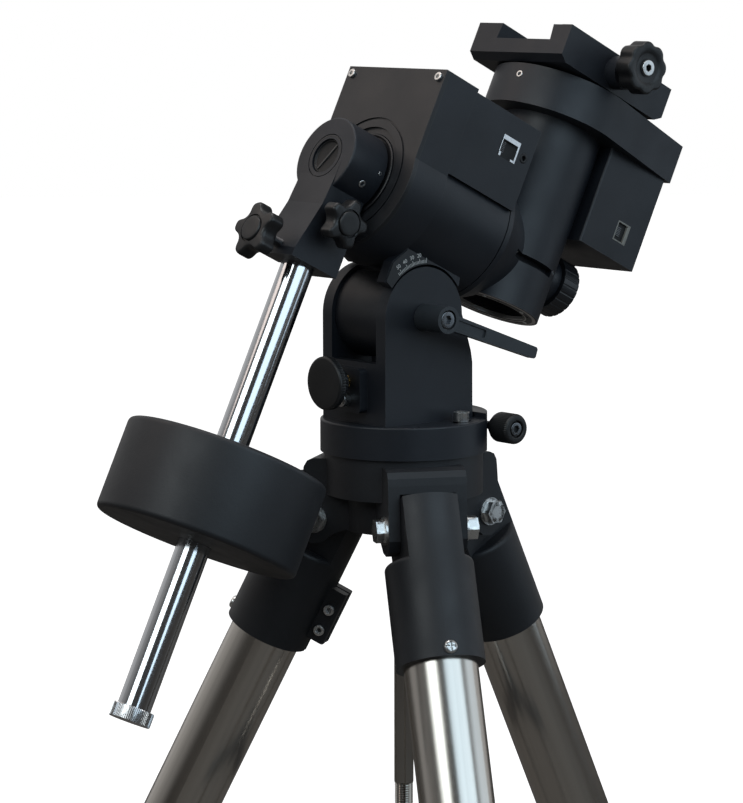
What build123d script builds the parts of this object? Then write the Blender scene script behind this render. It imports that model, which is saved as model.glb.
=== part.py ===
from build123d import *
import math
import os

os.makedirs("parts", exist_ok=True)

# ------------------------------------------------------------------
# Driving dimensions, millimetres.  +Z up, polar direction -X.
# Everything is drawn about the azimuth axis, at x = y = 0, with the floor at
# z = 0, and is moved to the object's own frame as it is saved.
# ------------------------------------------------------------------
H_BASE = 850.0          # top of the azimuth base above the floor
LAT = 26.12             # latitude setting at rest, degrees
RA_Z = H_BASE + 131.9   # height of the RA axis above the floor at x = 0
BASE_R = 51.0
BASE_T = 20.0
PIV_X, PIV_Z = -9.0, H_BASE + 64.0     # latitude pivot
CHEEK_R = 30.2
CHEEK_OUT, CHEEK_IN = 29.7, 21.0
ALT_Z = H_BASE + 25.5   # altitude screw height
# RA unit, s along the polar axis, t away from the saddle side
RA_FACE = 39.0
RA_STEP = 11.3
RA_END = -47.6
RA_ROUND_R = 47.3
RA_TUBE_R = 44.0
RA_HALF = 45.4
RA_TOP = -70.1
GBOX_TOP, GBOX_BOT, GBOX_HALF = -68.4, -16.0, 43.8
RING_FACE = 67.4
RING_R = 24.7
POLAR_BORE_R = 11.0
# counterweight arm
ROD_S = 58.1
ROD_R = 10.0
ROD_T0, ROD_T1 = 22.0, 344.0
CW_R, CW_T0, CW_T1 = 61.7, 186.0, 242.7
CLAMP_T = 67.0
CLAMP_HALF = 16.3
# declination unit
DEC_S = -92.0
DEC_R = 32.3
DEC_RING_T = 31.4
HEAD_R = 46.0
HEAD_TOP, HEAD_BOT = -113.4, -88.0
CASE_REAR, CASE_REAR_HALF = -171.0, 34.0
MOTOR_S0, MOTOR_S1 = -116.0, -167.3
MOTOR_HALF, MOTOR_BOT = 33.0, -25.4
SAD_S0, SAD_S1 = -42.6, -137.6
SAD_HALF, SAD_TOP, SAD_BOT, SAD_FLOOR = 42.5, -138.2, -115.0, -128.0
SLOT_FAR, SLOT_NEAR = 20.6, -25.4
CAP_R, CAP_END = 18.5, -141.5
# tripod
HEAD_CYL_R = 48.5
LEG_LEAN = 26.4
LEG_AZ = (244.24, 124.24, 4.24)
LEG_R0, LEG_Z0 = 69.6, H_BASE - 100.0   # a point on the leg axis
LEG_PIVOT_U = -43.0
AZ_X, AZ_Z = 43.5, H_BASE - 6.0     # azimuth screws
BASE_SCREW_A = (-73.5, 73.5)
TUBE_R, TUBE_RI = 22.2, 20.2
LOW_R, LOW_RI = 18.0, 16.2
CAP_LEG_R = 26.8
CAP_U0, CAP_U1 = -22.0, 41.5
TONGUE_U, TONGUE_HALF = -58.0, 16.9
LUGSIGN = 1
COLLAR_U0, COLLAR_U1 = 560.0, 612.0
LOW_U0 = 330.0
FOOT_U = 833.0

rad = math.radians
PIV_S = -math.cos(rad(LAT)) * PIV_X + math.sin(rad(LAT)) * (PIV_Z - RA_Z)
PIV_T = -math.sin(rad(LAT)) * PIV_X - math.cos(rad(LAT)) * (PIV_Z - RA_Z)
N = (-math.cos(rad(LAT)), 0.0, math.sin(rad(LAT)))
C = (-math.sin(rad(LAT)), 0.0, -math.cos(rad(LAT)))


def at(s, t, y):
    return (N[0] * s + C[0] * t, y, RA_Z + N[2] * s + C[2] * t)


def ra_plane(s, t=0.0, y=0.0):
    # normal along the polar axis, local x = +Y, local y = t
    return Plane(origin=at(s, t, y), x_dir=(0, 1, 0), z_dir=N)


def dec_plane(t, s=0.0, y=0.0):
    # normal along the counterweight direction, local x = s, local y = +Y
    return Plane(origin=at(s, t, y), x_dir=N, z_dir=C)


def side_plane(y):
    # normal -Y, local x = s, local y = t, extrudes towards -Y
    return Plane(origin=at(0, 0, y), x_dir=N, z_dir=(0, -1, 0))


def xz_plane(y):
    # normal -Y, local x = X, local y = Z
    return Plane(origin=(0, y, 0), x_dir=(1, 0, 0), z_dir=(0, -1, 0))


# The azimuth axis stands at (SHIFT_X, SHIFT_Y): the origin is the floor point
# under the middle of the whole object's box.
SHIFT_X, SHIFT_Y = -94.836, 16.118


def finish(bp, label):
    bp.part.label = label
    moved = bp.part.moved(Location((SHIFT_X, SHIFT_Y, 0)))
    moved.label = label
    export_step(moved, "parts/" + label + ".step")


def star_points(n, r_out, r_in):
    pts = []
    for i in range(n):
        a = 2 * math.pi * i / n
        b = a + math.pi / n
        pts.append((r_out * math.cos(a), r_out * math.sin(a)))
        pts.append((r_in * math.cos(b), r_in * math.sin(b)))
    return pts


# ------------------------------------------------------------------
# Tripod head
# ------------------------------------------------------------------
zb = H_BASE - BASE_T - 0.4       # top of the tripod head
piv_r = LEG_R0 + LEG_PIVOT_U * math.sin(rad(LEG_LEAN))
piv_z = LEG_Z0 - LEG_PIVOT_U * math.cos(rad(LEG_LEAN))
YOKE_IN, YOKE_OUT = 17.25, 24.2

with BuildPart() as tripod_head:
    with BuildSketch(Plane.XY.offset(zb)):
        Circle(HEAD_CYL_R)
    extrude(amount=-25.5)
    # body joining the yokes below the round top
    with BuildSketch(Plane.XY.offset(zb - 25.5)):
        Circle(37.0)
    extrude(amount=-22.0)
    for az in LEG_AZ:
        d = (math.cos(rad(az)), math.sin(rad(az)), 0)
        e = (-math.sin(rad(az)), math.cos(rad(az)), 0)
        f = (math.sin(rad(az)), -math.cos(rad(az)), 0)
        # yoke, profile in the radial-vertical plane, local y = Z
        pl = Plane(origin=(e[0] * YOKE_OUT, e[1] * YOKE_OUT, 0), x_dir=d, z_dir=f)
        with BuildSketch(pl):
            with BuildLine():
                Polyline((16, zb - 46), (16, zb - 3.8), (50.5, zb - 3.8), (54.4, zb - 5.4), (56.6, zb - 9.0), (57.2, zb - 13.5),
                         (58.6, zb - 30), (60.4, zb - 46), (58.0, zb - 53.0), (52.0, zb - 56.4), (45.0, zb - 55.4),
                         (38.0, zb - 50.0), (30.0, zb - 47.0), close=True)
            make_face()
        extrude(amount=2 * YOKE_OUT)
    for az in LEG_AZ:
        d = (math.cos(rad(az)), math.sin(rad(az)), 0)
        e = (-math.sin(rad(az)), math.cos(rad(az)), 0)
        f = (math.sin(rad(az)), -math.cos(rad(az)), 0)
        # slot of the leg tongue
        pl = Plane(origin=(e[0] * YOKE_IN, e[1] * YOKE_IN, 0), x_dir=d, z_dir=f)
        with BuildSketch(pl):
            with BuildLine():
                Polyline((17.8, zb - 80), (17.8, zb - 18.2), (80, zb - 18.2), (80, zb - 80), close=True)
            make_face()
        extrude(amount=2 * YOKE_IN, mode=Mode.SUBTRACT)
        # pivot bolt bore
        plb = Plane(origin=(d[0] * piv_r + e[0] * 30, d[1] * piv_r + e[1] * 30, piv_z), x_dir=d, z_dir=f)
        with BuildSketch(plb):
            Circle(4.05)
        extrude(amount=60, mode=Mode.SUBTRACT)
    # boss and bore of the centre rod
    with BuildSketch(Plane.XY.offset(zb - 18.0)):
        Circle(11.0)
    extrude(amount=-29.5)
    with BuildSketch(Plane.XY.offset(zb - 61.0)):
        Circle(6.05)
    extrude(amount=45.0, mode=Mode.SUBTRACT)
    # centring spigot under the azimuth base
    with BuildSketch(Plane.XY.offset(zb)):
        Circle(14.0)
    extrude(amount=10.0)
    # azimuth peg between the two azimuth screws
    with BuildSketch(Plane.XY.offset(zb)):
        with Locations((AZ_X, 0)):
            Rectangle(6.0, 6.0)
    extrude(amount=17.5)
    # tapped holes of the two base screws
    with BuildSketch(Plane.XY.offset(zb + 0.1)):
        for a in BASE_SCREW_A:
            with Locations((41.6 * math.cos(rad(a)), 41.6 * math.sin(rad(a)))):
                Circle(3.0)
    extrude(amount=-12.0, mode=Mode.SUBTRACT)
finish(tripod_head, "tripod_head")

with BuildPart() as leg_pivot_bolts:
    for az in LEG_AZ:
        d = (math.cos(rad(az)), math.sin(rad(az)), 0)
        e = (-math.sin(rad(az)), math.cos(rad(az)), 0)

        def bp_at(w):
            return Plane(origin=(d[0] * piv_r + e[0] * w, d[1] * piv_r + e[1] * w, piv_z), x_dir=d, z_dir=e)
        with BuildSketch(bp_at(-30.5)):
            Circle(4.0)
        extrude(amount=63.5)
        with BuildSketch(bp_at(-24.2)):
            Circle(8.6)
        extrude(amount=-1.4)
        with BuildSketch(bp_at(-25.6)):
            RegularPolygon(7.5, 6)
        extrude(amount=-5.3)
        with BuildSketch(bp_at(24.2)):
            Circle(8.6)
        extrude(amount=1.4)
        with BuildSketch(bp_at(25.6)):
            RegularPolygon(7.5, 6)
        extrude(amount=6.4)
finish(leg_pivot_bolts, "leg_pivot_bolts")

ROD_BOT = H_BASE - 330.0
with BuildPart() as centre_rod:
    with BuildSketch(Plane.XY.offset(zb - 18.0)):
        Circle(6.0)
    extrude(amount=-(zb - 18.0 - (H_BASE - 228.0)))
    # rolled thread on the lower half, as shallow rings
    with BuildSketch(Plane.XZ):
        with BuildLine():
            pts = [(0, H_BASE - 228.0), (5.2, H_BASE - 228.0)]
            z = H_BASE - 228.0
            while z > ROD_BOT + 3.0:
                pts += [(5.9, z - 0.75), (5.2, z - 1.5)]
                z -= 1.5
            pts += [(4.4, z - 1.2), (0, z - 1.2)]
            Polyline(*pts, close=True)
        make_face()
    revolve(axis=Axis.Z)
finish(centre_rod, "centre_rod")

SPR_Z = H_BASE - 300.0
spr_reach = LEG_R0 + (LEG_Z0 - SPR_Z - 8) * math.tan(rad(LEG_LEAN)) - TUBE_R / math.cos(rad(LEG_LEAN)) - 2.2
with BuildPart() as spreader:
    with BuildSketch(Plane.XY.offset(SPR_Z)):
        Circle(30.0)
        for az in LEG_AZ:
            with Locations(Rotation(0, 0, az + 60)):
                with Locations((spr_reach / 2, 0)):
                    Rectangle(spr_reach, 20.0)
        Circle(6.3, mode=Mode.SUBTRACT)
    extrude(amount=-4.0)
    for az in LEG_AZ:
        a = rad(az + 60)
        d = (math.cos(a), math.sin(a), 0)
        e = (-math.sin(a), math.cos(a), 0)
        f = (math.sin(a), -math.cos(a), 0)
        pl = Plane(origin=(e[0] * 1.5, e[1] * 1.5, 0), x_dir=d, z_dir=f)
        with BuildSketch(pl):
            with BuildLine():
                Polyline((24, SPR_Z - 3.5), (24, SPR_Z - 14), (spr_reach - 14, SPR_Z - 6), (spr_reach - 14, SPR_Z - 3.5), close=True)
            make_face()
        extrude(amount=3.0)
finish(spreader, "spreader")

with BuildPart() as spreader_knob:
    with BuildSketch(Plane.XY.offset(SPR_Z - 4.6)):
        Circle(11.0)
    extrude(amount=-6.0)
    with BuildSketch(Plane.XY.offset(SPR_Z - 10.6)) as sk:
        Circle(19.0)
        with PolarLocations(21.5, 6, start_angle=30):
            Circle(5.0, mode=Mode.SUBTRACT)
    extrude(amount=-11.0)
    with BuildSketch(Plane.XY.offset(SPR_Z)):
        Circle(6.3)
    extrude(amount=-30.0, mode=Mode.SUBTRACT)
finish(spreader_knob, "spreader_knob")

# ------------------------------------------------------------------
# Legs
# ------------------------------------------------------------------
for i, az in enumerate(LEG_AZ, start=1):
    d = (math.cos(rad(az)), math.sin(rad(az)), 0)
    e = (-math.sin(rad(az)), math.cos(rad(az)), 0)
    ax = (d[0] * math.sin(rad(LEG_LEAN)), d[1] * math.sin(rad(LEG_LEAN)), -math.cos(rad(LEG_LEAN)))
    o = (d[0] * LEG_R0, d[1] * LEG_R0, LEG_Z0)

    def lp(u, v=0.0, w=0.0, o=o, ax=ax, e=e):
        # normal down the leg, local x = tangential e, local y = e cross... (in the leaning plane)
        q = (ax[1] * e[2] - ax[2] * e[1], ax[2] * e[0] - ax[0] * e[2], ax[0] * e[1] - ax[1] * e[0])
        org = tuple(o[k] + ax[k] * u + e[k] * v + q[k] * w for k in range(3))
        return Plane(origin=org, x_dir=e, z_dir=ax)

    def tang(v, o=o, ax=ax, e=e):
        # normal tangential, local x = down the leg (u), local y outward from the leg axis plane
        org = tuple(o[k] + e[k] * v for k in range(3))
        return Plane(origin=org, x_dir=ax, z_dir=e)

    with BuildPart() as leg_cap:
        with BuildSketch(lp(CAP_U0)):
            Circle(CAP_LEG_R)
        extrude(amount=CAP_U1 - CAP_U0)
        fillet(leg_cap.edges().filter_by(GeomType.CIRCLE).sort_by(Axis(o, ax))[0], 3.0)
        # tongue: the same round section cut to the width of the yoke slot
        with BuildSketch(lp(TONGUE_U)):
            Circle(CAP_LEG_R)
            Rectangle(2 * TONGUE_HALF, 80, mode=Mode.INTERSECT)
        extrude(amount=CAP_U0 + 6 - TONGUE_U)
        # pivot bore
        with BuildSketch(tang(20)):
            with Locations((LEG_PIVOT_U, 0)):
                Circle(4.06)
        extrude(amount=-40, mode=Mode.SUBTRACT)
        # clamp lug on the inner side, split by a slot
        with BuildSketch(lp(-5.0)):
            with Locations((0, -(CAP_LEG_R + 1.6))):
                RectangleRounded(16.0, 16.0, 2.0)
        extrude(amount=35.5)
        # socket of the tube
        with BuildSketch(lp(-6.0)):
            Circle(TUBE_R + 0.02)
        extrude(amount=CAP_U1 + 10, mode=Mode.SUBTRACT)
        with BuildSketch(lp(-10.0)):
            with Locations((0, -34.0)):
                Rectangle(2.2, 34.0)
        extrude(amount=CAP_U1 + 16, mode=Mode.SUBTRACT)
        # clamp screw holes through the lug and the pin hole of the cap screw
        with BuildSketch(tang(12)):
            with Locations((8.0, -LUGSIGN * 31.0), (22.5, -LUGSIGN * 31.0)):
                Circle(2.02)
        extrude(amount=-24, mode=Mode.SUBTRACT)
        with BuildSketch(Plane(origin=lp(37.0, 0, 0).origin, x_dir=e, z_dir=lp(0).y_dir).offset(TUBE_R + 1.0)):
            Circle(2.02)
        extrude(amount=8, mode=Mode.SUBTRACT)
    finish(leg_cap, "leg_cap_%d" % i)

    with BuildPart() as upper:
        with BuildSketch(lp(-5.0)):
            Circle(TUBE_R)
            Circle(TUBE_RI, mode=Mode.SUBTRACT)
        extrude(amount=COLLAR_U1 - 6.0 + 5.0)
    finish(upper, "leg_tube_upper_%d" % i)

    with BuildPart() as collar:
        with BuildSketch(lp(COLLAR_U0)):
            Circle(26.5)
        extrude(amount=COLLAR_U1 - COLLAR_U0)
        with BuildSketch(lp(COLLAR_U1)):
            Circle(23.0)
        extrude(amount=8.0)
        # boss for the lock knob, on the outer side
        with BuildSketch(Plane(origin=lp(COLLAR_U0 + 34).origin, x_dir=e, z_dir=lp(0).y_dir)):
            Circle(9.0)
        extrude(amount=33.0)
        with BuildSketch(lp(COLLAR_U0 - 1)):
            Circle(TUBE_R + 0.02)
        extrude(amount=COLLAR_U1 - 6.0 - COLLAR_U0 + 1, mode=Mode.SUBTRACT)
        with BuildSketch(lp(COLLAR_U0)):
            Circle(LOW_R + 0.08)
        extrude(amount=COLLAR_U1 - COLLAR_U0 + 20, mode=Mode.SUBTRACT)
        with BuildSketch(Plane(origin=lp(COLLAR_U0 + 34 + 18).origin, x_dir=e, z_dir=lp(0).y_dir)):
            Circle(3.05)
        extrude(amount=40.0, mode=Mode.SUBTRACT)
    finish(collar, "leg_clamp_%d" % i)

    with BuildPart() as lockk:
        kp = Plane(origin=lp(COLLAR_U0 + 34 + 18).origin, x_dir=e, z_dir=lp(0).y_dir)
        with BuildSketch(kp.offset(27.2)):
            Circle(3.0)
        extrude(amount=12.0)
        with BuildSketch(kp.offset(33.6)):
            Circle(6.5)
        extrude(amount=5.0)
        with BuildSketch(kp.offset(38.6)):
            Circle(15.0)
            with PolarLocations(17.2, 5):
                Circle(4.6, mode=Mode.SUBTRACT)
        extrude(amount=10.0)
    finish(lockk, "leg_lock_knob_%d" % i)

    with BuildPart() as lower:
        with BuildSketch(lp(LOW_U0)):
            Circle(LOW_R)
            Circle(LOW_RI, mode=Mode.SUBTRACT)
        extrude(amount=FOOT_U - 34.0 - LOW_U0)
    finish(lower, "leg_tube_lower_%d" % i)

    # rubber foot: a sleeve with a domed end cut flat at the floor
    with BuildPart() as foot:
        with BuildSketch(lp(FOOT_U - 60.0)):
            Circle(21.5)
        extrude(amount=60.0)
        with BuildSketch(lp(FOOT_U - 61.0)):
            Circle(LOW_R + 0.02)
        extrude(amount=27.0, mode=Mode.SUBTRACT)
        # cut level with the floor plane
        zf = 0.0
        with BuildSketch(Plane.XY.offset(zf)):
            with Locations((d[0] * 430, d[1] * 430)):
                Circle(90)
        extrude(amount=-60, mode=Mode.SUBTRACT)
    finish(foot, "leg_foot_%d" % i)

# ------------------------------------------------------------------
# Azimuth base and fork
# ------------------------------------------------------------------
with BuildPart() as azimuth_base:
    with BuildSketch(Plane.XY.offset(H_BASE)):
        Circle(BASE_R)
    extrude(amount=-BASE_T)
    fillet(azimuth_base.edges().filter_by(GeomType.CIRCLE).sort_by(Axis.Z)[-1], 1.2)
    # raised south part that carries the azimuth screws
    with BuildSketch(Plane.XY.offset(H_BASE - 3.0)):
        Circle(BASE_R)
        with Locations((-20.0, 0)):
            Rectangle(103.0, 110.0, mode=Mode.SUBTRACT)
    extrude(amount=6.3)
    # centring bore
    with BuildSketch(Plane.XY.offset(H_BASE - BASE_T - 1)):
        Circle(14.05)
    extrude(amount=11.5, mode=Mode.SUBTRACT)
    # notch for the azimuth peg
    with BuildSketch(Plane.XY.offset(H_BASE - BASE_T - 1)):
        with Locations((AZ_X, 0)):
            Rectangle(9.0, 17.0)
    extrude(amount=19.2, mode=Mode.SUBTRACT)
    # azimuth screw bores
    with BuildSketch(xz_plane(40.0)):
        with Locations((AZ_X, AZ_Z)):
            Circle(2.56)
    extrude(amount=80.0, mode=Mode.SUBTRACT)
    # curved slots of the two base screws
    with BuildSketch(Plane.XY.offset(H_BASE + 1)):
        for a in BASE_SCREW_A:
            SlotArc(CenterArc((0, 0), 41.6, a - 7.5, 15.0).edge(), 6.6)
    extrude(amount=-30.0, mode=Mode.SUBTRACT)
    # small grub-screw hole
    with BuildSketch(Plane.XY.offset(H_BASE + 1)):
        with Locations((-24.0, -40.5)):
            Circle(2.2)
    extrude(amount=-7.0, mode=Mode.SUBTRACT)
finish(azimuth_base, "azimuth_base")

with BuildPart() as base_screws:
    for a in BASE_SCREW_A:
        cx, cy = 41.6 * math.cos(rad(a)), 41.6 * math.sin(rad(a))
        with BuildSketch(Plane.XY.offset(H_BASE + 0.15)):
            with Locations((cx, cy)):
                Circle(4.9)
        extrude(amount=5.6)
        with BuildSketch(Plane.XY.offset(H_BASE + 0.15)):
            with Locations((cx, cy)):
                Circle(2.95)
        extrude(amount=-32.0)
        with BuildSketch(Plane.XY.offset(H_BASE + 5.75)):
            with Locations((cx, cy)):
                RegularPolygon(2.5, 6)
        extrude(amount=-3.0, mode=Mode.SUBTRACT)
finish(base_screws, "base_screws")

with BuildPart() as fork:
    for y0 in (-CHEEK_IN, CHEEK_OUT):
        with BuildSketch(xz_plane(y0)):
            with BuildLine():
                Polyline((-39.2, PIV_Z), (-39.2, H_BASE), (29.8, H_BASE), (29.6, H_BASE + 34), (28.4, H_BASE + 41),
                         (21.2, PIV_Z), close=True)
            make_face()
            with Locations((PIV_X, PIV_Z)):
                Circle(CHEEK_R)
        extrude(amount=CHEEK_OUT - CHEEK_IN)
    # floor of the fork and the north wall that carries the altitude screw
    with BuildSketch(Plane.XY.offset(H_BASE)):
        with Locations(((29.8 - 39.2) / 2, 0)):
            Rectangle(69.0, 2 * CHEEK_IN)
    extrude(amount=7.0)
    with BuildSketch(Plane(origin=(-39.2, 0, 0), x_dir=(0, 1, 0), z_dir=(1, 0, 0))):
        with BuildLine():
            Polyline((-CHEEK_IN, H_BASE), (CHEEK_IN, H_BASE), (CHEEK_IN, H_BASE + 37.0), (-CHEEK_IN, H_BASE + 37.0), close=True)
        make_face()
    extrude(amount=7.0)
    # nut block of the altitude screw, on the north wall
    with BuildSketch(Plane(origin=(-39.2, 0, H_BASE + 20.5), x_dir=(0, 1, 0), z_dir=(-1, 0, 0))):
        RectangleRounded(26.0, 27.0, 3.0)
    extrude(amount=6.0)
    # altitude screw bore
    with BuildSketch(Plane(origin=(-60, 0, ALT_Z), x_dir=(0, 1, 0), z_dir=(1, 0, 0))):
        Circle(4.06)
    extrude(amount=35.0, mode=Mode.SUBTRACT)
    with BuildSketch(Plane(origin=(-60, 0, H_BASE + 14.6), x_dir=(0, 1, 0), z_dir=(1, 0, 0))):
        Circle(2.52)
    extrude(amount=25.0, mode=Mode.SUBTRACT)
    # pivot bore through both cheeks
    with BuildSketch(xz_plane(40)):
        with Locations((PIV_X, PIV_Z)):
            Circle(6.05)
    extrude(amount=80, mode=Mode.SUBTRACT)
finish(fork, "fork")

with BuildPart() as latitude_axle:
    with BuildSketch(xz_plane(CHEEK_OUT + 0.2)):
        with Locations((PIV_X, PIV_Z)):
            Circle(6.0)
    extrude(amount=CHEEK_OUT + 0.2 + 50.0)
    with BuildSketch(xz_plane(CHEEK_OUT + 5.2)):
        with Locations((PIV_X, PIV_Z)):
            Circle(9.5)
    extrude(amount=5.0)
    with BuildSketch(xz_plane(-50.0)):
        with Locations((PIV_X, PIV_Z)):
            RegularPolygon(3.2, 6)
    extrude(amount=-5.0, mode=Mode.SUBTRACT)
finish(latitude_axle, "latitude_axle")

# latitude lock lever
LEV_A = -19.3
with BuildPart() as latitude_lever:
    with BuildSketch(xz_plane(-CHEEK_OUT - 0.4)):
        with Locations((PIV_X, PIV_Z)):
            Circle(8.2)
    extrude(amount=22.2)
    lever_plane = Plane(origin=(PIV_X, -43.6, PIV_Z), x_dir=(math.cos(rad(LEV_A)), 0, math.sin(rad(LEV_A))), z_dir=(0, -1, 0))
    with BuildSketch(lever_plane):
        with BuildLine():
            Polyline((0, -4.9), (76.5, -3.6), (77.6, -2.4), (77.6, 2.4), (76.5, 3.6), (0, 4.9), close=True)
        make_face()
    extrude(amount=6.2)
    with BuildSketch(lever_plane.offset(6.2)):
        with Locations((21.5, 0)):
            RectangleRounded(24.0, 5.2, 1.2)
    extrude(amount=-1.2, mode=Mode.SUBTRACT)
    with BuildSketch(xz_plane(-CHEEK_OUT)):
        with Locations((PIV_X, PIV_Z)):
            Circle(6.06)
    extrude(amount=30, mode=Mode.SUBTRACT)
finish(latitude_lever, "latitude_lever")

for nm, sgn in (("azimuth_knob_near", -1), ("azimuth_knob_far", 1)):
    pk = Plane(origin=(AZ_X, sgn * 8.4, AZ_Z), x_dir=(1, 0, 0), z_dir=(0, sgn, 0))
    with BuildPart() as azk:
        with BuildSketch(pk):
            Circle(2.5)
        extrude(amount=26.0)
        with BuildSketch(pk.offset(22.3)):
            Circle(2.7)
        with BuildSketch(pk.offset(31.1)):
            Circle(9.0)
        loft()
        with BuildSketch(pk.offset(31.1)):
            Circle(9.4)
        extrude(amount=15.6)
        fillet(azk.edges().filter_by(GeomType.CIRCLE).sort_by(Axis.Y)[-1 if sgn > 0 else 0], 1.6)
        with BuildSketch(pk.offset(46.7)):
            Circle(5.2)
        extrude(amount=-2.2, mode=Mode.SUBTRACT)
        with BuildSketch(pk.offset(44.5)):
            RegularPolygon(2.6, 6)
        extrude(amount=-5.0, mode=Mode.SUBTRACT)
    finish(azk, nm)

# altitude adjusting knob with its screw
pa = Plane(origin=(-27.6, 0, ALT_Z), x_dir=(0, 1, 0), z_dir=(-1, 0, 0))
ALT_TIP = 9.0
with BuildPart() as altitude_knob:
    with BuildSketch(pa.offset(-ALT_TIP)):
        Circle(4.0)
    extrude(amount=25.0 + ALT_TIP)
    with BuildSketch(pa.offset(20.0)):
        Circle(6.6)
    extrude(amount=5.0)
    with BuildSketch(pa.offset(24.4)):
        Circle(16.2)
        with PolarLocations(17.1, 20):
            Circle(1.5, mode=Mode.SUBTRACT)
    extrude(amount=11.0)
finish(altitude_knob, "altitude_knob")

# ------------------------------------------------------------------
# RA housing (turns on the latitude pivot)
# ------------------------------------------------------------------
hub_gap = 0.35
with BuildPart() as ra_housing:
    # square-topped round front body
    with BuildSketch(ra_plane(RA_STEP)):
        Circle(RA_ROUND_R)
        with Locations((0, RA_TOP / 2)):
            Rectangle(2 * RA_HALF, -RA_TOP)
    extrude(amount=RA_FACE - 3.0 - RA_STEP)
    # round rear tube
    with BuildSketch(ra_plane(RA_END)):
        Circle(RA_TUBE_R)
    extrude(amount=RA_STEP - RA_END)
    # pedestal with flat sides down to the hub
    with BuildSketch(xz_plane(CHEEK_OUT - 0.1)):
        with BuildLine():
            Polyline((-18.0, H_BASE + 92.8), (-26.0, H_BASE + 100.0), (-4, H_BASE + 118),
                     (19.5, H_BASE + 110), (19.5, H_BASE + 87.7), (18.9, H_BASE + 81.6), (PIV_X, PIV_Z), close=True)
        make_face()
    extrude(amount=2 * (CHEEK_OUT - 0.1))
    # near-side flange that carries the latitude scale
    with BuildSketch(xz_plane(-22.0)):
        with BuildLine():
            Polyline((-39.4, H_BASE + 87.0), (-34.0, H_BASE + 98.6), (-21.6, H_BASE + 106.3), (-4, H_BASE + 118), (PIV_X, PIV_Z), close=True)
        make_face()
    extrude(amount=CHEEK_OUT - 0.1 - 22.0)
    # relief round the fork cheeks
    for y0 in (CHEEK_OUT + 1, -CHEEK_IN + hub_gap):
        with BuildSketch(xz_plane(y0)):
            with Locations((PIV_X, PIV_Z)):
                Circle(CHEEK_R + 1.6)
        extrude(amount=CHEEK_OUT + 1 - CHEEK_IN + hub_gap, mode=Mode.SUBTRACT)
    # central hub between the cheeks, with the push tongue
    with BuildSketch(xz_plane(CHEEK_IN - hub_gap)):
        with Locations((PIV_X, PIV_Z)):
            Circle(27.5)
    extrude(amount=2 * (CHEEK_IN - hub_gap))
    with BuildSketch(xz_plane(9.0)):
        with BuildLine():
            Polyline((PIV_X - 9, PIV_Z), (PIV_X - 9, ALT_Z - 8), (PIV_X + 7, ALT_Z - 8), (PIV_X + 7, PIV_Z), close=True)
        make_face()
    extrude(amount=18.0)
    # pivot bore
    with BuildSketch(xz_plane(40)):
        with Locations((PIV_X, PIV_Z)):
            Circle(6.06)
    extrude(amount=80, mode=Mode.SUBTRACT)
    # inside: room for the wheel, shaft and gearbox
    with BuildSketch(ra_plane(RA_END - 1)):
        Circle(30.06)
    extrude(amount=14.8, mode=Mode.SUBTRACT)
    with BuildSketch(ra_plane(RA_END + 13)):
        Circle(24.0)
    extrude(amount=18.0, mode=Mode.SUBTRACT)
    with BuildSketch(ra_plane(RA_STEP - 10.0)):
        Circle(42.0)
    extrude(amount=40.0, mode=Mode.SUBTRACT)
    with BuildSketch(ra_plane(RA_END + 30)):
        Circle(30.06)
    extrude(amount=20.0, mode=Mode.SUBTRACT)
    # worm and motor room above the wheel
    with BuildSketch(ra_plane(8.0)):
        with Locations((0, -49.5)):
            Rectangle(80.0, 27.0)
    extrude(amount=60.0, mode=Mode.SUBTRACT)
finish(ra_housing, "ra_housing")

with BuildPart() as ra_front_cover:
    with BuildSketch(ra_plane(RA_FACE - 3.0)):
        Circle(RA_ROUND_R)
        with Locations((0, RA_TOP / 2)):
            Rectangle(2 * RA_HALF, -RA_TOP)
    extrude(amount=3.0)
    # bore of the rotating front ring
    with BuildSketch(ra_plane(RA_FACE - 4)):
        Circle(27.6)
    extrude(amount=8, mode=Mode.SUBTRACT)
    # machined ring groove
    with BuildSketch(ra_plane(RA_FACE)):
        Circle(37.6)
        Circle(36.0, mode=Mode.SUBTRACT)
    extrude(amount=-1.0, mode=Mode.SUBTRACT)
    with BuildSketch(ra_plane(RA_FACE)):
        Circle(31.4)
        Circle(27.6, mode=Mode.SUBTRACT)
    extrude(amount=-1.6, mode=Mode.SUBTRACT)
    with BuildSketch(ra_plane(RA_FACE + 1)):
        for yy in (-40.4, 40.4):
            with Locations((yy, RA_TOP + 5.0)):
                Circle(1.53)
    extrude(amount=-10, mode=Mode.SUBTRACT)
finish(ra_front_cover, "ra_front_cover")

with BuildPart() as cover_screws:
    for yy in (-40.4, 40.4):
        with BuildSketch(ra_plane(RA_FACE, y=yy)):
            with Locations((0, RA_TOP + 5.0)):
                Circle(2.8)
        extrude(amount=1.5)
        with BuildSketch(ra_plane(RA_FACE, y=yy)):
            with Locations((0, RA_TOP + 5.0)):
                Circle(1.5)
        extrude(amount=-3.0)
        with BuildSketch(ra_plane(RA_FACE + 1.5, y=yy)):
            with Locations((0, RA_TOP + 5.0)):
                RegularPolygon(1.3, 6)
        extrude(amount=-1.0, mode=Mode.SUBTRACT)
finish(cover_screws, "cover_screws")

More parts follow.
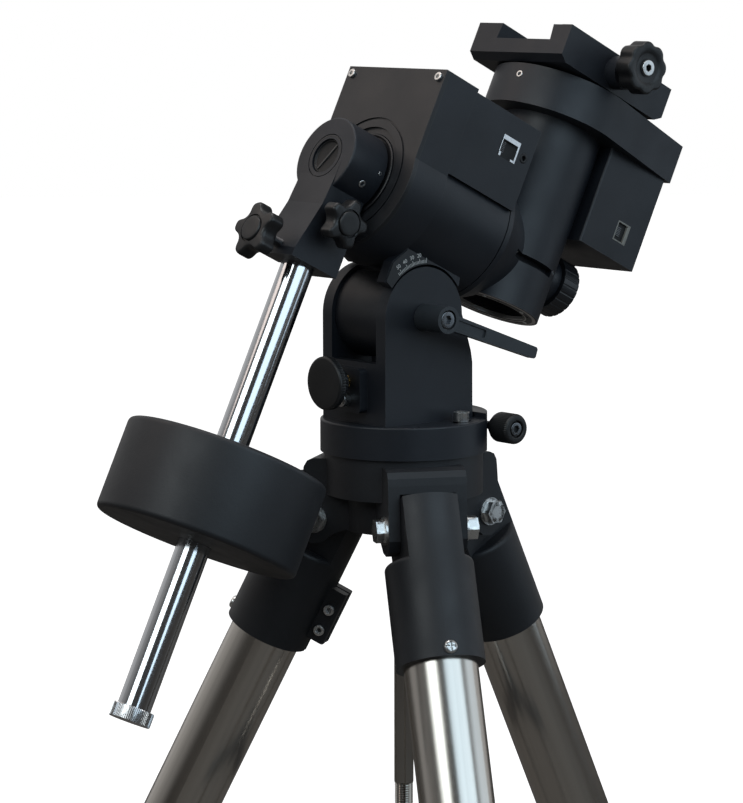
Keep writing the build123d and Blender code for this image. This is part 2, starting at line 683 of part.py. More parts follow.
# gearbox and electronics cover on top of the rear tube
with BuildPart() as ra_gearbox_cover:
    with BuildSketch(ra_plane(RA_END)):
        with Locations((0, (GBOX_TOP + GBOX_BOT) / 2)):
            Rectangle(2 * GBOX_HALF, GBOX_BOT - GBOX_TOP)
        Circle(RA_TUBE_R + 0.02, mode=Mode.SUBTRACT)
    extrude(amount=RA_STEP - RA_END - 0.02)
    # hollow
    with BuildSketch(ra_plane(RA_END + 3)):
        with Locations((0, (GBOX_TOP + 3 - 46.5) / 2)):
            Rectangle(2 * GBOX_HALF - 6, -46.5 - GBOX_TOP - 3)
    extrude(amount=RA_STEP - RA_END - 3, mode=Mode.SUBTRACT)
    # port openings on the near side
    with BuildSketch(side_plane(-GBOX_HALF - 1)):
        with Locations((-28.0, -48.6)):
            Rectangle(15.0, 14.0)
        with Locations((-41.0, -48.0)):
            Circle(3.1)
    extrude(amount=-3.0, mode=Mode.SUBTRACT)
finish(ra_gearbox_cover, "ra_gearbox_cover")

with BuildPart() as ra_ports:
    with BuildSketch(side_plane(-GBOX_HALF + 2.0)):
        with Locations((-28.0, -48.6)):
            Rectangle(14.9, 13.9)
            Rectangle(11.6, 10.4, mode=Mode.SUBTRACT)
    extrude(amount=2.3)
    with BuildSketch(side_plane(-GBOX_HALF + 2.0)):
        with Locations((-28.0, -48.6)):
            Rectangle(14.9, 13.9)
    extrude(amount=0.8)
    with BuildSketch(side_plane(-GBOX_HALF + 2.0)):
        with Locations((-41.0, -48.0)):
            Circle(3.05)
            Circle(2.3, mode=Mode.SUBTRACT)
    extrude(amount=2.2)
    with BuildSketch(side_plane(-GBOX_HALF + 2.0)):
        with Locations((-41.0, -48.0)):
            Circle(3.05)
    extrude(amount=0.7)
finish(ra_ports, "ra_ports")

# latitude scale plate on the near side of the pedestal
with BuildPart() as latitude_scale:
    with BuildSketch(side_plane(-CHEEK_OUT + 0.1)):
        with BuildLine():
            Polyline((15.2, 57.0), (15.2, 45.2), (8.2, 33.4), (-14.0, 33.4), (-14.0, 50.0), (0.0, 62.0), close=True)
        make_face()
        with Locations((PIV_S, PIV_T)):
            Circle(CHEEK_R + 1.6, mode=Mode.SUBTRACT)
    extrude(amount=0.8)
finish(latitude_scale, "latitude_scale")

with BuildPart() as altitude_block_screw:
    with BuildSketch(Plane(origin=(-45.2, 0, H_BASE + 14.6), x_dir=(0, 1, 0), z_dir=(-1, 0, 0))):
        Circle(4.3)
    extrude(amount=4.6)
    with BuildSketch(Plane(origin=(-45.2, 0, H_BASE + 14.6), x_dir=(0, 1, 0), z_dir=(-1, 0, 0))):
        Circle(2.5)
    extrude(amount=-9.0)
    with BuildSketch(Plane(origin=(-49.8, 0, H_BASE + 14.6), x_dir=(0, 1, 0), z_dir=(-1, 0, 0))):
        RegularPolygon(2.2, 6)
    extrude(amount=-2.6, mode=Mode.SUBTRACT)
finish(altitude_block_screw, "altitude_block_screw")

# ------------------------------------------------------------------
# RA shaft, wheel and worm
# ------------------------------------------------------------------
with BuildPart() as ra_shaft:
    with BuildSketch(ra_plane(-48.4)):
        Circle(30.0)
    extrude(amount=14.4)
    with BuildSketch(ra_plane(-34.0)):
        Circle(22.0)
    extrude(amount=20.0)
    with BuildSketch(ra_plane(-16.2)):
        Circle(30.0)
    extrude(amount=12.0)
    with BuildSketch(ra_plane(-5.0)):
        Circle(20.0)
    extrude(amount=44.5)
    with BuildSketch(ra_plane(-60.0)):
        Circle(POLAR_BORE_R)
    extrude(amount=120.0, mode=Mode.SUBTRACT)
finish(ra_shaft, "ra_shaft")

TEETH = 144
WHEEL_R = 38.0
WORM_R = 6.6


def wheel_profile(r, depth):
    pts = []
    for k in range(TEETH):
        a = 2 * math.pi * k / TEETH
        da = 2 * math.pi / TEETH
        for f, rr in ((-0.30, r - depth), (-0.16, r), (0.16, r), (0.30, r - depth)):
            pts.append((rr * math.cos(a + f * da), rr * math.sin(a + f * da)))
    return pts


with BuildPart() as ra_worm_wheel:
    with BuildSketch(ra_plane(14.0)):
        with BuildLine():
            Polyline(*wheel_profile(WHEEL_R, 1.1), close=True)
        make_face()
        Circle(20.02, mode=Mode.SUBTRACT)
    extrude(amount=9.0)
finish(ra_worm_wheel, "ra_worm_wheel")

worm_t = -(WHEEL_R + WORM_R + 0.35)
with BuildPart() as ra_worm:
    with BuildSketch(side_plane(34.0)):
        with Locations((18.5, worm_t)):
            Circle(3.0)
    extrude(amount=68.0)
    with BuildSketch(side_plane(16.0)):
        with Locations((18.5, worm_t)):
            Circle(WORM_R)
    extrude(amount=32.0)
    with BuildSketch(side_plane(30.0)):
        with Locations((18.5, worm_t)):
            Circle(7.0)
    extrude(amount=6.0)
finish(ra_worm, "ra_worm")

# ------------------------------------------------------------------
# Counterweight arm
# ------------------------------------------------------------------
with BuildPart() as cw_holder:
    with BuildSketch(ra_plane(RA_FACE + 0.9)):
        Circle(RING_R)
    extrude(amount=RING_FACE - RA_FACE - 0.9)
    # arm, profile in the s-t plane
    with BuildSketch(side_plane(CLAMP_HALF)):
        with BuildLine():
            Polyline((RA_FACE + 1.6, 0), (RING_FACE, 0), (RING_FACE + 0.2, 12), (69.4, 31), (77.3, 62), (77.3, CLAMP_T),
                     (40.6, CLAMP_T), (40.6, 20), close=True)
        make_face()
    extrude(amount=2 * CLAMP_HALF)
    fillet(cw_holder.edges().filter_by(GeomType.CIRCLE).sort_by(Axis((0, 0, RA_Z), N))[-1:], 1.2)
    # polar bore, with a larger recess at the front
    with BuildSketch(ra_plane(RA_FACE - 2)):
        Circle(POLAR_BORE_R)
    extrude(amount=60, mode=Mode.SUBTRACT)
    with BuildSketch(ra_plane(RING_FACE - 1.0)):
        Circle(14.0)
        Circle(13.4, mode=Mode.SUBTRACT)
    extrude(amount=5, mode=Mode.SUBTRACT)
    # shaft bore, blind
    with BuildSketch(dec_plane(ROD_T0 - 1.0, s=ROD_S)):
        Circle(ROD_R + 0.05)
    extrude(amount=60, mode=Mode.SUBTRACT)
    # clamp slot beside the shaft
    with BuildSketch(dec_plane(CLAMP_T - 22.0, s=ROD_S)):
        with Locations((0, ROD_R + 3.2)):
            Rectangle(4.2, 8.0)
    extrude(amount=30, mode=Mode.SUBTRACT)
    # screw bores of the two star knobs
    with BuildSketch(ra_plane(RING_FACE + 20, t=60.4)):
        Circle(3.06)
    extrude(amount=-20, mode=Mode.SUBTRACT)
    with BuildSketch(side_plane(-ROD_R + 2)):
        with Locations((ROD_S, 38.0)):
            Circle(3.06)
    extrude(amount=20, mode=Mode.SUBTRACT)
finish(cw_holder, "cw_holder")


def star_knob(plane, r, stem, label):
    with BuildPart() as k:
        with BuildSketch(plane):
            Circle(3.0)
        extrude(amount=stem + 3.0)
        with BuildSketch(plane.offset(stem - 5.0)):
            Circle(6.5)
        extrude(amount=6.0)
        with BuildSketch(plane.offset(stem)):
            Circle(r * 0.66)
            with PolarLocations(r * 0.66, 5, start_angle=18):
                Circle(r * 0.34)
        extrude(amount=10.5)
        with BuildSketch(plane.offset(stem + 10.5)):
            Circle(r * 0.36)
        extrude(amount=1.2)
    finish(k, label)


star_knob(ra_plane(ROD_S + ROD_R + 0.4, t=60.4), 17.4, 21.0, "star_knob_front")
star_knob(Plane(origin=at(ROD_S, 38.0, -ROD_R - 0.4), x_dir=N, z_dir=(0, -1, 0)), 15.2, 12.2, "star_knob_side")

with BuildPart() as polar_cap_front:
    with BuildSketch(ra_plane(RING_FACE - 9.0)):
        Circle(POLAR_BORE_R - 0.06)
    extrude(amount=7.6)
    with BuildSketch(ra_plane(RING_FACE - 1.4)):
        with Locations(Rotation(0, 0, 58)):
            Rectangle(1.6, 19.6)
    extrude(amount=-1.6, mode=Mode.SUBTRACT)
finish(polar_cap_front, "polar_cap_front")

with BuildPart() as cw_shaft:
    with BuildSketch(dec_plane(ROD_T0, s=ROD_S)):
        Circle(ROD_R)
    extrude(amount=ROD_T1 - ROD_T0)
    fillet(cw_shaft.edges().filter_by(GeomType.CIRCLE).sort_by(Axis(at(ROD_S, 0, 0), C))[0], 1.0)
    with BuildSketch(dec_plane(ROD_T1, s=ROD_S)):
        Circle(4.0)
    extrude(amount=7.0)
finish(cw_shaft, "cw_shaft")

with BuildPart() as shaft_end_cap:
    with BuildSketch(dec_plane(ROD_T1 + 0.05, s=ROD_S)):
        Circle(12.7)
    extrude(amount=8.8)
    with BuildSketch(dec_plane(ROD_T1, s=ROD_S)):
        Circle(4.06)
    extrude(amount=7.4, mode=Mode.SUBTRACT)
finish(shaft_end_cap, "shaft_end_cap")

with BuildPart() as counterweight:
    with BuildSketch(dec_plane(CW_T0, s=ROD_S)):
        Circle(CW_R)
    extrude(amount=CW_T1 - CW_T0)
    fillet(counterweight.edges().filter_by(GeomType.CIRCLE), 3.2)
    with BuildSketch(dec_plane(CW_T0 - 1, s=ROD_S)):
        Circle(ROD_R + 0.08)
    extrude(amount=CW_T1 - CW_T0 + 2, mode=Mode.SUBTRACT)
    # lock screw bore, on the far side
    with BuildSketch(Plane(origin=at(ROD_S, (CW_T0 + CW_T1) / 2, ROD_R - 1.0), x_dir=N, z_dir=(0, 1, 0))):
        Circle(4.06)
    extrude(amount=80, mode=Mode.SUBTRACT)
finish(counterweight, "counterweight")

with BuildPart() as counterweight_knob:
    kp = Plane(origin=at(ROD_S, (CW_T0 + CW_T1) / 2, ROD_R + 0.5), x_dir=N, z_dir=(0, 1, 0))
    with BuildSketch(kp):
        Circle(4.0)
    extrude(amount=CW_R - ROD_R + 4.0)
    with BuildSketch(kp.offset(CW_R - ROD_R + 1.0)):
        Circle(11.0)
        with PolarLocations(12.0, 10):
            Circle(1.6, mode=Mode.SUBTRACT)
    extrude(amount=13.0)
finish(counterweight_knob, "counterweight_knob")

# ------------------------------------------------------------------
# Declination unit
# ------------------------------------------------------------------
with BuildPart() as dec_housing:
    # main tube
    with BuildSketch(dec_plane(HEAD_BOT, s=DEC_S)):
        Circle(DEC_R)
    extrude(amount=DEC_RING_T - HEAD_BOT)
    # flange to the RA shaft: round at the RA end, blended into the tube
    with BuildSketch(ra_plane(-48.4)):
        Circle(RA_TUBE_R)
    extrude(amount=-3.6)
    with BuildSketch(ra_plane(-52.0)):
        Circle(RA_TUBE_R)
    with BuildSketch(ra_plane(-84.0)):
        Circle(26.0)
    loft()
    # rear boss of the polar cap
    with BuildSketch(ra_plane(-116.0)):
        Circle(15.5)
    extrude(amount=-12.0)
    # bore of the declination shaft
    with BuildSketch(dec_plane(HEAD_BOT - 1, s=DEC_S)):
        Circle(26.05)
    extrude(amount=18, mode=Mode.SUBTRACT)
    with BuildSketch(dec_plane(HEAD_BOT + 15, s=DEC_S)):
        Circle(22.0)
    extrude(amount=140, mode=Mode.SUBTRACT)
    # polar bore through the tube walls
    with BuildSketch(ra_plane(-45.0)):
        Circle(POLAR_BORE_R)
    extrude(amount=-100, mode=Mode.SUBTRACT)
    # seat of the bottom ring
    with BuildSketch(dec_plane(DEC_RING_T + 1, s=DEC_S)):
        Circle(29.0)
    extrude(amount=-5.0, mode=Mode.SUBTRACT)
    # clutch slot on the near side
    with BuildSketch(side_plane(-24.0)):
        with Locations((-88.0, 2.0)):
            Rectangle(36.0, 5.0)
    extrude(amount=20, mode=Mode.SUBTRACT)
finish(dec_housing, "dec_housing")

with BuildPart() as dec_bottom_ring:
    with BuildSketch(dec_plane(DEC_RING_T - 3.9, s=DEC_S)):
        Circle(28.9)
        Circle(23.5, mode=Mode.SUBTRACT)
    extrude(amount=4.1)
    with BuildSketch(dec_plane(DEC_RING_T + 0.2, s=DEC_S)):
        with PolarLocations(26.2, 6):
            Circle(1.1)
    extrude(amount=-1.5, mode=Mode.SUBTRACT)
finish(dec_bottom_ring, "dec_bottom_ring")

# gear case: disc that runs tangentially into the rear box
ang = math.asin((HEAD_R - CASE_REAR_HALF) / (DEC_S - CASE_REAR))
tx = DEC_S - HEAD_R * math.sin(ang)
ty = HEAD_R * math.cos(ang)
with BuildPart() as dec_gear_case:
    with BuildSketch(dec_plane(HEAD_TOP)):
        with Locations((DEC_S, 0)):
            Circle(HEAD_R)
        with BuildLine():
            Polyline((tx, ty), (CASE_REAR, CASE_REAR_HALF), (CASE_REAR, -CASE_REAR_HALF), (tx, -ty), close=True)
        make_face()
    extrude(amount=HEAD_BOT - HEAD_TOP)
    # shaft bore and gear room
    with BuildSketch(dec_plane(HEAD_TOP - 1, s=DEC_S)):
        Circle(26.08)
    extrude(amount=40, mode=Mode.SUBTRACT)
    with BuildSketch(dec_plane(HEAD_TOP + 4, s=DEC_S)):
        Circle(41.0)
        with Locations((-48.0, 0)):
            Rectangle(40.0, 62.0)
    extrude(amount=HEAD_BOT - HEAD_TOP - 7, mode=Mode.SUBTRACT)
finish(dec_gear_case, "dec_gear_case")

with BuildPart() as dec_motor_cover:
    with BuildSketch(dec_plane(HEAD_BOT + 0.02)):
        with Locations(((MOTOR_S0 + MOTOR_S1) / 2, 0)):
            RectangleRounded(MOTOR_S0 - MOTOR_S1, 2 * MOTOR_HALF, 1.5)
        with Locations((DEC_S, 0)):
            Circle(DEC_R + 0.02, mode=Mode.SUBTRACT)
    extrude(amount=MOTOR_BOT - HEAD_BOT)
    with BuildSketch(dec_plane(HEAD_BOT)):
        with Locations(((MOTOR_S0 + MOTOR_S1) / 2 - 5.0, 0)):
            Rectangle(MOTOR_S0 - MOTOR_S1 - 16, 2 * MOTOR_HALF - 6)
    extrude(amount=MOTOR_BOT - HEAD_BOT - 3, mode=Mode.SUBTRACT)
    # port opening
    with BuildSketch(side_plane(-MOTOR_HALF - 1)):
        with Locations((-147.0, -43.5)):
            Rectangle(11.5, 13.0)
    extrude(amount=-3.0, mode=Mode.SUBTRACT)
finish(dec_motor_cover, "dec_motor_cover")

with BuildPart() as polar_cap_rear:
    with BuildSketch(ra_plane(-128.4)):
        Circle(CAP_R)
        with PolarLocations(CAP_R + 1.0, 24):
            Circle(1.3, mode=Mode.SUBTRACT)
    extrude(amount=-(-128.4 - CAP_END))
    with BuildSketch(ra_plane(-128.4)):
        Circle(POLAR_BORE_R - 0.06)
    extrude(amount=6.0)
finish(polar_cap_rear, "polar_cap_rear")

with BuildPart() as dec_shaft:
    with BuildSketch(dec_plane(SAD_BOT + 0.02, s=DEC_S)):
        Circle(26.0)
    extrude(amount=HEAD_BOT + 14.0 - SAD_BOT)
    with BuildSketch(dec_plane(HEAD_BOT + 14.0, s=DEC_S)):
        Circle(17.0)
    extrude(amount=8.0)
    with BuildSketch(dec_plane(SAD_BOT, s=DEC_S)):
        Circle(8.0)
    extrude(amount=60, mode=Mode.SUBTRACT)
finish(dec_shaft, "dec_shaft")

DWHEEL_R = 36.5
with BuildPart() as dec_worm_wheel:
    with BuildSketch(dec_plane(-105.0, s=DEC_S)):
        with BuildLine():
            Polyline(*wheel_profile(DWHEEL_R, 1.1), close=True)
        make_face()
        Circle(26.02, mode=Mode.SUBTRACT)
    extrude(amount=8.0)
finish(dec_worm_wheel, "dec_worm_wheel")

dworm_s = DEC_S - (DWHEEL_R + WORM_R + 0.35)
with BuildPart() as dec_worm:
    with BuildSketch(side_plane(26.0)):
        with Locations((dworm_s, -101.0)):
            Circle(3.0)
    extrude(amount=52.0)
    with BuildSketch(side_plane(14.0)):
        with Locations((dworm_s, -101.0)):
            Circle(WORM_R)
    extrude(amount=28.0)
    with BuildSketch(side_plane(24.0)):
        with Locations((dworm_s, -101.0)):
            Circle(7.2)
    extrude(amount=5.0)
finish(dec_worm, "dec_worm")

# ------------------------------------------------------------------
# Dovetail saddle
# ------------------------------------------------------------------
JAW_Y = -33.6
with BuildPart() as saddle:
    with BuildSketch(ra_plane(SAD_S1)):
        with BuildLine():
            Polyline((SAD_HALF, SAD_BOT), (SAD_HALF, SAD_TOP), (SLOT_FAR, SAD_TOP), (SLOT_FAR + 1.4, SAD_FLOOR),
                     (JAW_Y, SAD_FLOOR), (JAW_Y, SAD_TOP), (-SAD_HALF, SAD_TOP), (-SAD_HALF, SAD_BOT), close=True)
        make_face()
    extrude(amount=SAD_S0 - SAD_S1)
    # chamfered undersides at both ends
    for s_end, sg in ((SAD_S0, 1), (SAD_S1, -1)):
        with BuildSketch(side_plane(SAD_HALF + 1)):
            with BuildLine():
                Polyline((s_end + sg * 0.5, SAD_BOT + 0.5), (s_end + sg * 0.5, SAD_BOT - 4.0), (s_end - sg * 6.0, SAD_BOT + 0.5), close=True)
            make_face()
        extrude(amount=2 * SAD_HALF + 2, mode=Mode.SUBTRACT)
    # knob boss on the near side
    with BuildSketch(side_plane(-SAD_HALF + 1)):
        with Locations((-89.8, -127.6)):
            Circle(10.4)
    extrude(amount=10.0)
    with BuildSketch(side_plane(JAW_Y + 5)):
        with Locations((-89.8, -131.5)):
            Circle(3.56)
    extrude(amount=60, mode=Mode.SUBTRACT)
    # two tapped holes in the slot floor
    with BuildSketch(dec_plane(SAD_FLOOR - 1)):
        for ds in (-25.0, 25.0):
            with Locations((DEC_S + 2.2 + ds, -2.5)):
                Circle(3.0)
    extrude(amount=9.0, mode=Mode.SUBTRACT)
finish(saddle, "saddle")

with BuildPart() as saddle_jaw:
    with BuildSketch(ra_plane(SAD_S1 + 0.3)):
        with BuildLine():
            Polyline((JAW_Y + 0.15, SAD_FLOOR - 0.1), (JAW_Y + 0.15, SAD_TOP), (SLOT_NEAR, SAD_TOP), (SLOT_NEAR - 1.4, SAD_FLOOR - 0.1), close=True)
        make_face()
    extrude(amount=SAD_S0 - SAD_S1 - 0.6)
finish(saddle_jaw, "saddle_jaw")

with BuildPart() as saddle_knob:
    kp = Plane(origin=at(-89.8, -131.5, JAW_Y + 0.0), x_dir=N, z_dir=(0, -1, 0))
    with BuildSketch(kp):
        Circle(3.5)
    extrude(amount=25.0)
    with BuildSketch(kp.offset(18.8)):
        Circle(9.0)
    extrude(amount=4.4)
    with BuildSketch(kp.offset(22.0)):
        Circle(16.4)
        with PolarLocations(19.4, 8):
            Circle(4.6, mode=Mode.SUBTRACT)
    extrude(amount=13.0)
    with BuildSketch(kp.offset(35.0)):
        Circle(4.5)
    extrude(amount=-3.0, mode=Mode.SUBTRACT)
    with BuildSketch(kp.offset(32.0)):
        Circle(4.3)
        RegularPolygon(2.4, 6, mode=Mode.SUBTRACT)
    extrude(amount=3.4)
finish(saddle_knob, "saddle_knob")
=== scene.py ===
import bpy, bmesh, math
from mathutils import Matrix, Vector


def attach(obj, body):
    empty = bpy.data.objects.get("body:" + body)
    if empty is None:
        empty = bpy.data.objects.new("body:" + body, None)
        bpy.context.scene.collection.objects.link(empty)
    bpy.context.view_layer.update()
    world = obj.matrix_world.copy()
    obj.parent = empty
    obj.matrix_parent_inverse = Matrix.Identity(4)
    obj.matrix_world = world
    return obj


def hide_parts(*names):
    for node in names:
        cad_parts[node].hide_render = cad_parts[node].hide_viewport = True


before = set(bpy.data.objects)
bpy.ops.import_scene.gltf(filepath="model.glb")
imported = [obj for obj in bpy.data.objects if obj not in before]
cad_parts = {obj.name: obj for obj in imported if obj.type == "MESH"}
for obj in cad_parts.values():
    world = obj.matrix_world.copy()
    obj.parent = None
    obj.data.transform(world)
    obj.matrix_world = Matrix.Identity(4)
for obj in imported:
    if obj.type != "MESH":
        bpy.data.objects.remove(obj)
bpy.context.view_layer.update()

# ------------------------------------------------------------------
# The same numbers as the CAD, in metres
# ------------------------------------------------------------------
SX, SY = -0.094836, 0.016118
LAT = math.radians(26.12)
HB = 0.850
RA_Z = HB + 0.1319
N = Vector((-math.cos(LAT), 0, math.sin(LAT)))
C = Vector((-math.sin(LAT), 0, -math.cos(LAT)))
Y = Vector((0, 1, 0))
O = Vector((SX, SY, RA_Z))
BASE = Vector((SX, SY, HB))
MM = 0.001


def at(s, t, y):
    return O + N * (s * MM) + C * (t * MM) + Y * (y * MM)


def rel(x, y, z):
    return BASE + Vector((x, y, z)) * MM


LEG_AZ = (244.24, 124.24, 4.24)
LEAN = math.radians(26.4)


def leg_axes(i):
    a = math.radians(LEG_AZ[i])
    d = Vector((math.cos(a), math.sin(a), 0))
    e = Vector((-math.sin(a), math.cos(a), 0))
    ax = d * math.sin(LEAN) - Vector((0, 0, math.cos(LEAN)))
    q = d * math.cos(LEAN) + Vector((0, 0, math.sin(LEAN)))
    p0 = BASE + (d * 69.6 + Vector((0, 0, -100))) * MM
    return d, e, ax, q, p0


# ------------------------------------------------------------------
# Node materials
# ------------------------------------------------------------------
def new_mat(name):
    m = bpy.data.materials.new(name)
    m.use_nodes = True
    nt = m.node_tree
    return m, nt, nt.nodes["Principled BSDF"]


def node(nt, kind, **inputs):
    n = nt.nodes.new(kind)
    for k, v in inputs.items():
        n.inputs[k.replace("_", " ")].default_value = v
    return n


def noise(nt, scale, detail=4.0, rough=0.55, coord="Object"):
    tc = nt.nodes.new("ShaderNodeTexCoord")
    n = nt.nodes.new("ShaderNodeTexNoise")
    n.inputs["Scale"].default_value = scale
    n.inputs["Detail"].default_value = detail
    n.inputs["Roughness"].default_value = rough
    nt.links.new(tc.outputs[coord], n.inputs["Vector"])
    return n


def ramp(nt, src, stops):
    r = nt.nodes.new("ShaderNodeValToRGB")
    els = r.color_ramp.elements
    while len(els) < len(stops):
        els.new(0.5)
    for e, (p, c) in zip(els, stops):
        e.position = p
        e.color = c if len(c) == 4 else (*c, 1)
    nt.links.new(src, r.inputs[0])
    return r


def maprange(nt, src, a, b, c, d):
    m = nt.nodes.new("ShaderNodeMapRange")
    for k, v in zip(("From Min", "From Max", "To Min", "To Max"), (a, b, c, d)):
        m.inputs[k].default_value = v
    nt.links.new(src, m.inputs["Value"])
    return m


def edge_wear_and_highlight_mask(nt, radius=0.0007):
    """0 on flats, rising to 1 on sharp convex edges, where rubbed wear and a painted edge highlight are laid."""
    b = nt.nodes.new("ShaderNodeBevel")
    b.samples = 4
    b.inputs["Radius"].default_value = radius
    g = nt.nodes.new("ShaderNodeNewGeometry")
    d = nt.nodes.new("ShaderNodeVectorMath")
    d.operation = "DOT_PRODUCT"
    nt.links.new(b.outputs["Normal"], d.inputs[0])
    nt.links.new(g.outputs["Normal"], d.inputs[1])
    return maprange(nt, d.outputs["Value"], 1.0, 0.9, 0.0, 1.0)


def bump(nt, height, strength, dist, normal=None):
    b = nt.nodes.new("ShaderNodeBump")
    b.inputs["Strength"].default_value = strength
    b.inputs["Distance"].default_value = dist
    nt.links.new(height, b.inputs["Height"])
    if normal is not None:
        nt.links.new(normal, b.inputs["Normal"])
    return b


def mat_coat(name, base, rough=0.42, grain=900.0, grain_strength=0.18, edge_wear_and_highlight=0.35, tint=(0.25, 0.26, 0.27), spread=0.006):
    """Satin black finish: fine grain, faint clouding, paler rubbed edges that also paint an edge highlight."""
    m, nt, p = new_mat(name)
    big = noise(nt, 14.0, 3.0)
    fine = noise(nt, grain, 3.0, 0.6)
    lo = tuple(max(0.0, c * 0.82) for c in base)
    hi = tuple(c * 1.2 + spread * 0.2 for c in base)
    col = ramp(nt, big.outputs["Fac"], [(0.3, lo), (0.7, hi)])
    # paler convex edges: partly rubbed wear, partly a painted highlight along the edges
    w = edge_wear_and_highlight_mask(nt)
    wn = noise(nt, 160.0, 4.0)
    wm = nt.nodes.new("ShaderNodeMath")
    wm.operation = "MULTIPLY"
    nt.links.new(w.outputs[0], wm.inputs[0])
    wr = maprange(nt, wn.outputs["Fac"], 0.3, 0.75, 0.25 * edge_wear_and_highlight, edge_wear_and_highlight)
    nt.links.new(wr.outputs[0], wm.inputs[1])
    mx = nt.nodes.new("ShaderNodeMix")
    mx.data_type = "RGBA"
    nt.links.new(wm.outputs[0], mx.inputs["Factor"])
    nt.links.new(col.outputs[0], mx.inputs["A"])
    mx.inputs["B"].default_value = (*tint, 1)
    nt.links.new(mx.outputs["Result"], p.inputs["Base Color"])
    smudge = noise(nt, 30.0, 5.0, 0.6)
    r = maprange(nt, smudge.outputs["Fac"], 0.3, 0.7, rough - 0.06, rough + 0.08)
    nt.links.new(r.outputs[0], p.inputs["Roughness"])
    b = bump(nt, fine.outputs["Fac"], grain_strength, 0.0002)
    nt.links.new(b.outputs[0], p.inputs["Normal"])
    p.inputs["Specular IOR Level"].default_value = 0.5
    return m


def mat_metal(name, base, rough=0.22, streak=None, streak_scale=(1, 1, 1), grime=0.12, bump_s=0.05):
    """Bare metal with turning or brushing marks and faint handling marks."""
    m, nt, p = new_mat(name)
    p.inputs["Metallic"].default_value = 1.0
    tc = nt.nodes.new("ShaderNodeTexCoord")
    mp = nt.nodes.new("ShaderNodeMapping")
    mp.inputs["Scale"].default_value = streak_scale
    nt.links.new(tc.outputs["Object"], mp.inputs["Vector"])
    n = nt.nodes.new("ShaderNodeTexNoise")
    n.inputs["Scale"].default_value = streak or 400.0
    n.inputs["Detail"].default_value = 4.0
    nt.links.new(mp.outputs[0], n.inputs["Vector"])
    big = noise(nt, 22.0, 4.0)
    col = ramp(nt, big.outputs["Fac"], [(0.25, tuple(c * (1 - grime) for c in base)), (0.7, base)])
    nt.links.new(col.outputs[0], p.inputs["Base Color"])
    r = maprange(nt, n.outputs["Fac"], 0.3, 0.7, max(0.02, rough - 0.05), rough + 0.06)
    nt.links.new(r.outputs[0], p.inputs["Roughness"])
    b = bump(nt, n.outputs["Fac"], bump_s, 0.0001)
    nt.links.new(b.outputs[0], p.inputs["Normal"])
    return m


def mat_tube(name, axis, base, rough=0.16):
    """Drawn stainless tube: long marks along its own axis, warm reflections, faint handling haze."""
    m, nt, p = new_mat(name)
    p.inputs["Metallic"].default_value = 1.0
    tc = nt.nodes.new("ShaderNodeTexCoord")
    z = Vector(axis).normalized()
    x = z.orthogonal().normalized()
    y = z.cross(x)
    cb = nt.nodes.new("ShaderNodeCombineXYZ")
    for k, (v, sc) in enumerate(((x, 260.0), (y, 260.0), (z, 1.6))):
        dn = nt.nodes.new("ShaderNodeVectorMath")
        dn.operation = "DOT_PRODUCT"
        dn.inputs[1].default_value = tuple(v * sc)
        nt.links.new(tc.outputs["Object"], dn.inputs[0])
        nt.links.new(dn.outputs["Value"], cb.inputs[k])
    n = nt.nodes.new("ShaderNodeTexNoise")
    n.inputs["Scale"].default_value = 1.0
    n.inputs["Detail"].default_value = 5.0
    nt.links.new(cb.outputs[0], n.inputs["Vector"])
    haze = noise(nt, 9.0, 4.0)
    col = ramp(nt, n.outputs["Fac"], [(0.25, tuple(c * 0.84 for c in base)), (0.75, base)])
    nt.links.new(col.outputs[0], p.inputs["Base Color"])
    r = maprange(nt, haze.outputs["Fac"], 0.3, 0.7, rough - 0.03, rough + 0.05)
    nt.links.new(r.outputs[0], p.inputs["Roughness"])
    b = bump(nt, n.outputs["Fac"], 0.12, 0.0001)
    nt.links.new(b.outputs[0], p.inputs["Normal"])
    return m


COAT = mat_coat("black_powder_coat", (0.0098, 0.0122, 0.0175), 0.45, 1100.0, 0.22, 0.22, (0.1, 0.105, 0.11))
COAT_SMOOTH = mat_coat("black_anodised", (0.0105, 0.0115, 0.0138), 0.38, 1800.0, 0.08, 0.25, (0.12, 0.125, 0.13))
COAT_CAST = mat_coat("black_cast_coat", (0.0115, 0.0125, 0.0155), 0.5, 700.0, 0.3, 0.2, (0.09, 0.095, 0.1))
PLASTIC = mat_coat("black_moulded_knob", (0.0095, 0.0097, 0.0105), 0.4, 1500.0, 0.15, 0.12, (0.06, 0.06, 0.065))
CHROME = mat_metal("hard_chrome", (0.72, 0.735, 0.76), 0.1, 900.0, (1, 1, 1), 0.06, 0.015)
STAIN = mat_metal("polished_stainless", (0.62, 0.6, 0.565), 0.11, 60.0, (1, 1, 1), 0.1, 0.015)
ZINC = mat_metal("zinc_fastener", (0.8, 0.8, 0.79), 0.3, 900.0, (1, 1, 1), 0.2, 0.08)
BRASS = mat_metal("turned_brass", (0.62, 0.45, 0.2), 0.26, 800.0, (1, 1, 1), 0.15, 0.06)
STEEL_DARK = mat_metal("dark_steel", (0.2, 0.2, 0.205), 0.3, 700.0, (1, 1, 1), 0.2, 0.05)
NICKEL = mat_metal("socket_shield", (0.75, 0.75, 0.76), 0.2, 500.0, (1, 1, 1), 0.1, 0.04)
RUBBER = mat_coat("black_rubber", (0.012, 0.012, 0.0125), 0.7, 500.0, 0.35, 0.1, (0.05, 0.05, 0.05))
WHITE = mat_coat("white_print", (0.62, 0.62, 0.6), 0.55, 900.0, 0.1, 0.0, (0.6, 0.6, 0.6))
# near-black, darker than the moulded plastic: black inserts with the shade of their recesses painted in
BLACK_WITH_RECESS_SHADE = mat_coat("black_painted_recess_shade", (0.004, 0.004, 0.0045), 0.6, 600.0, 0.1, 0.0, (0.01, 0.01, 0.01))

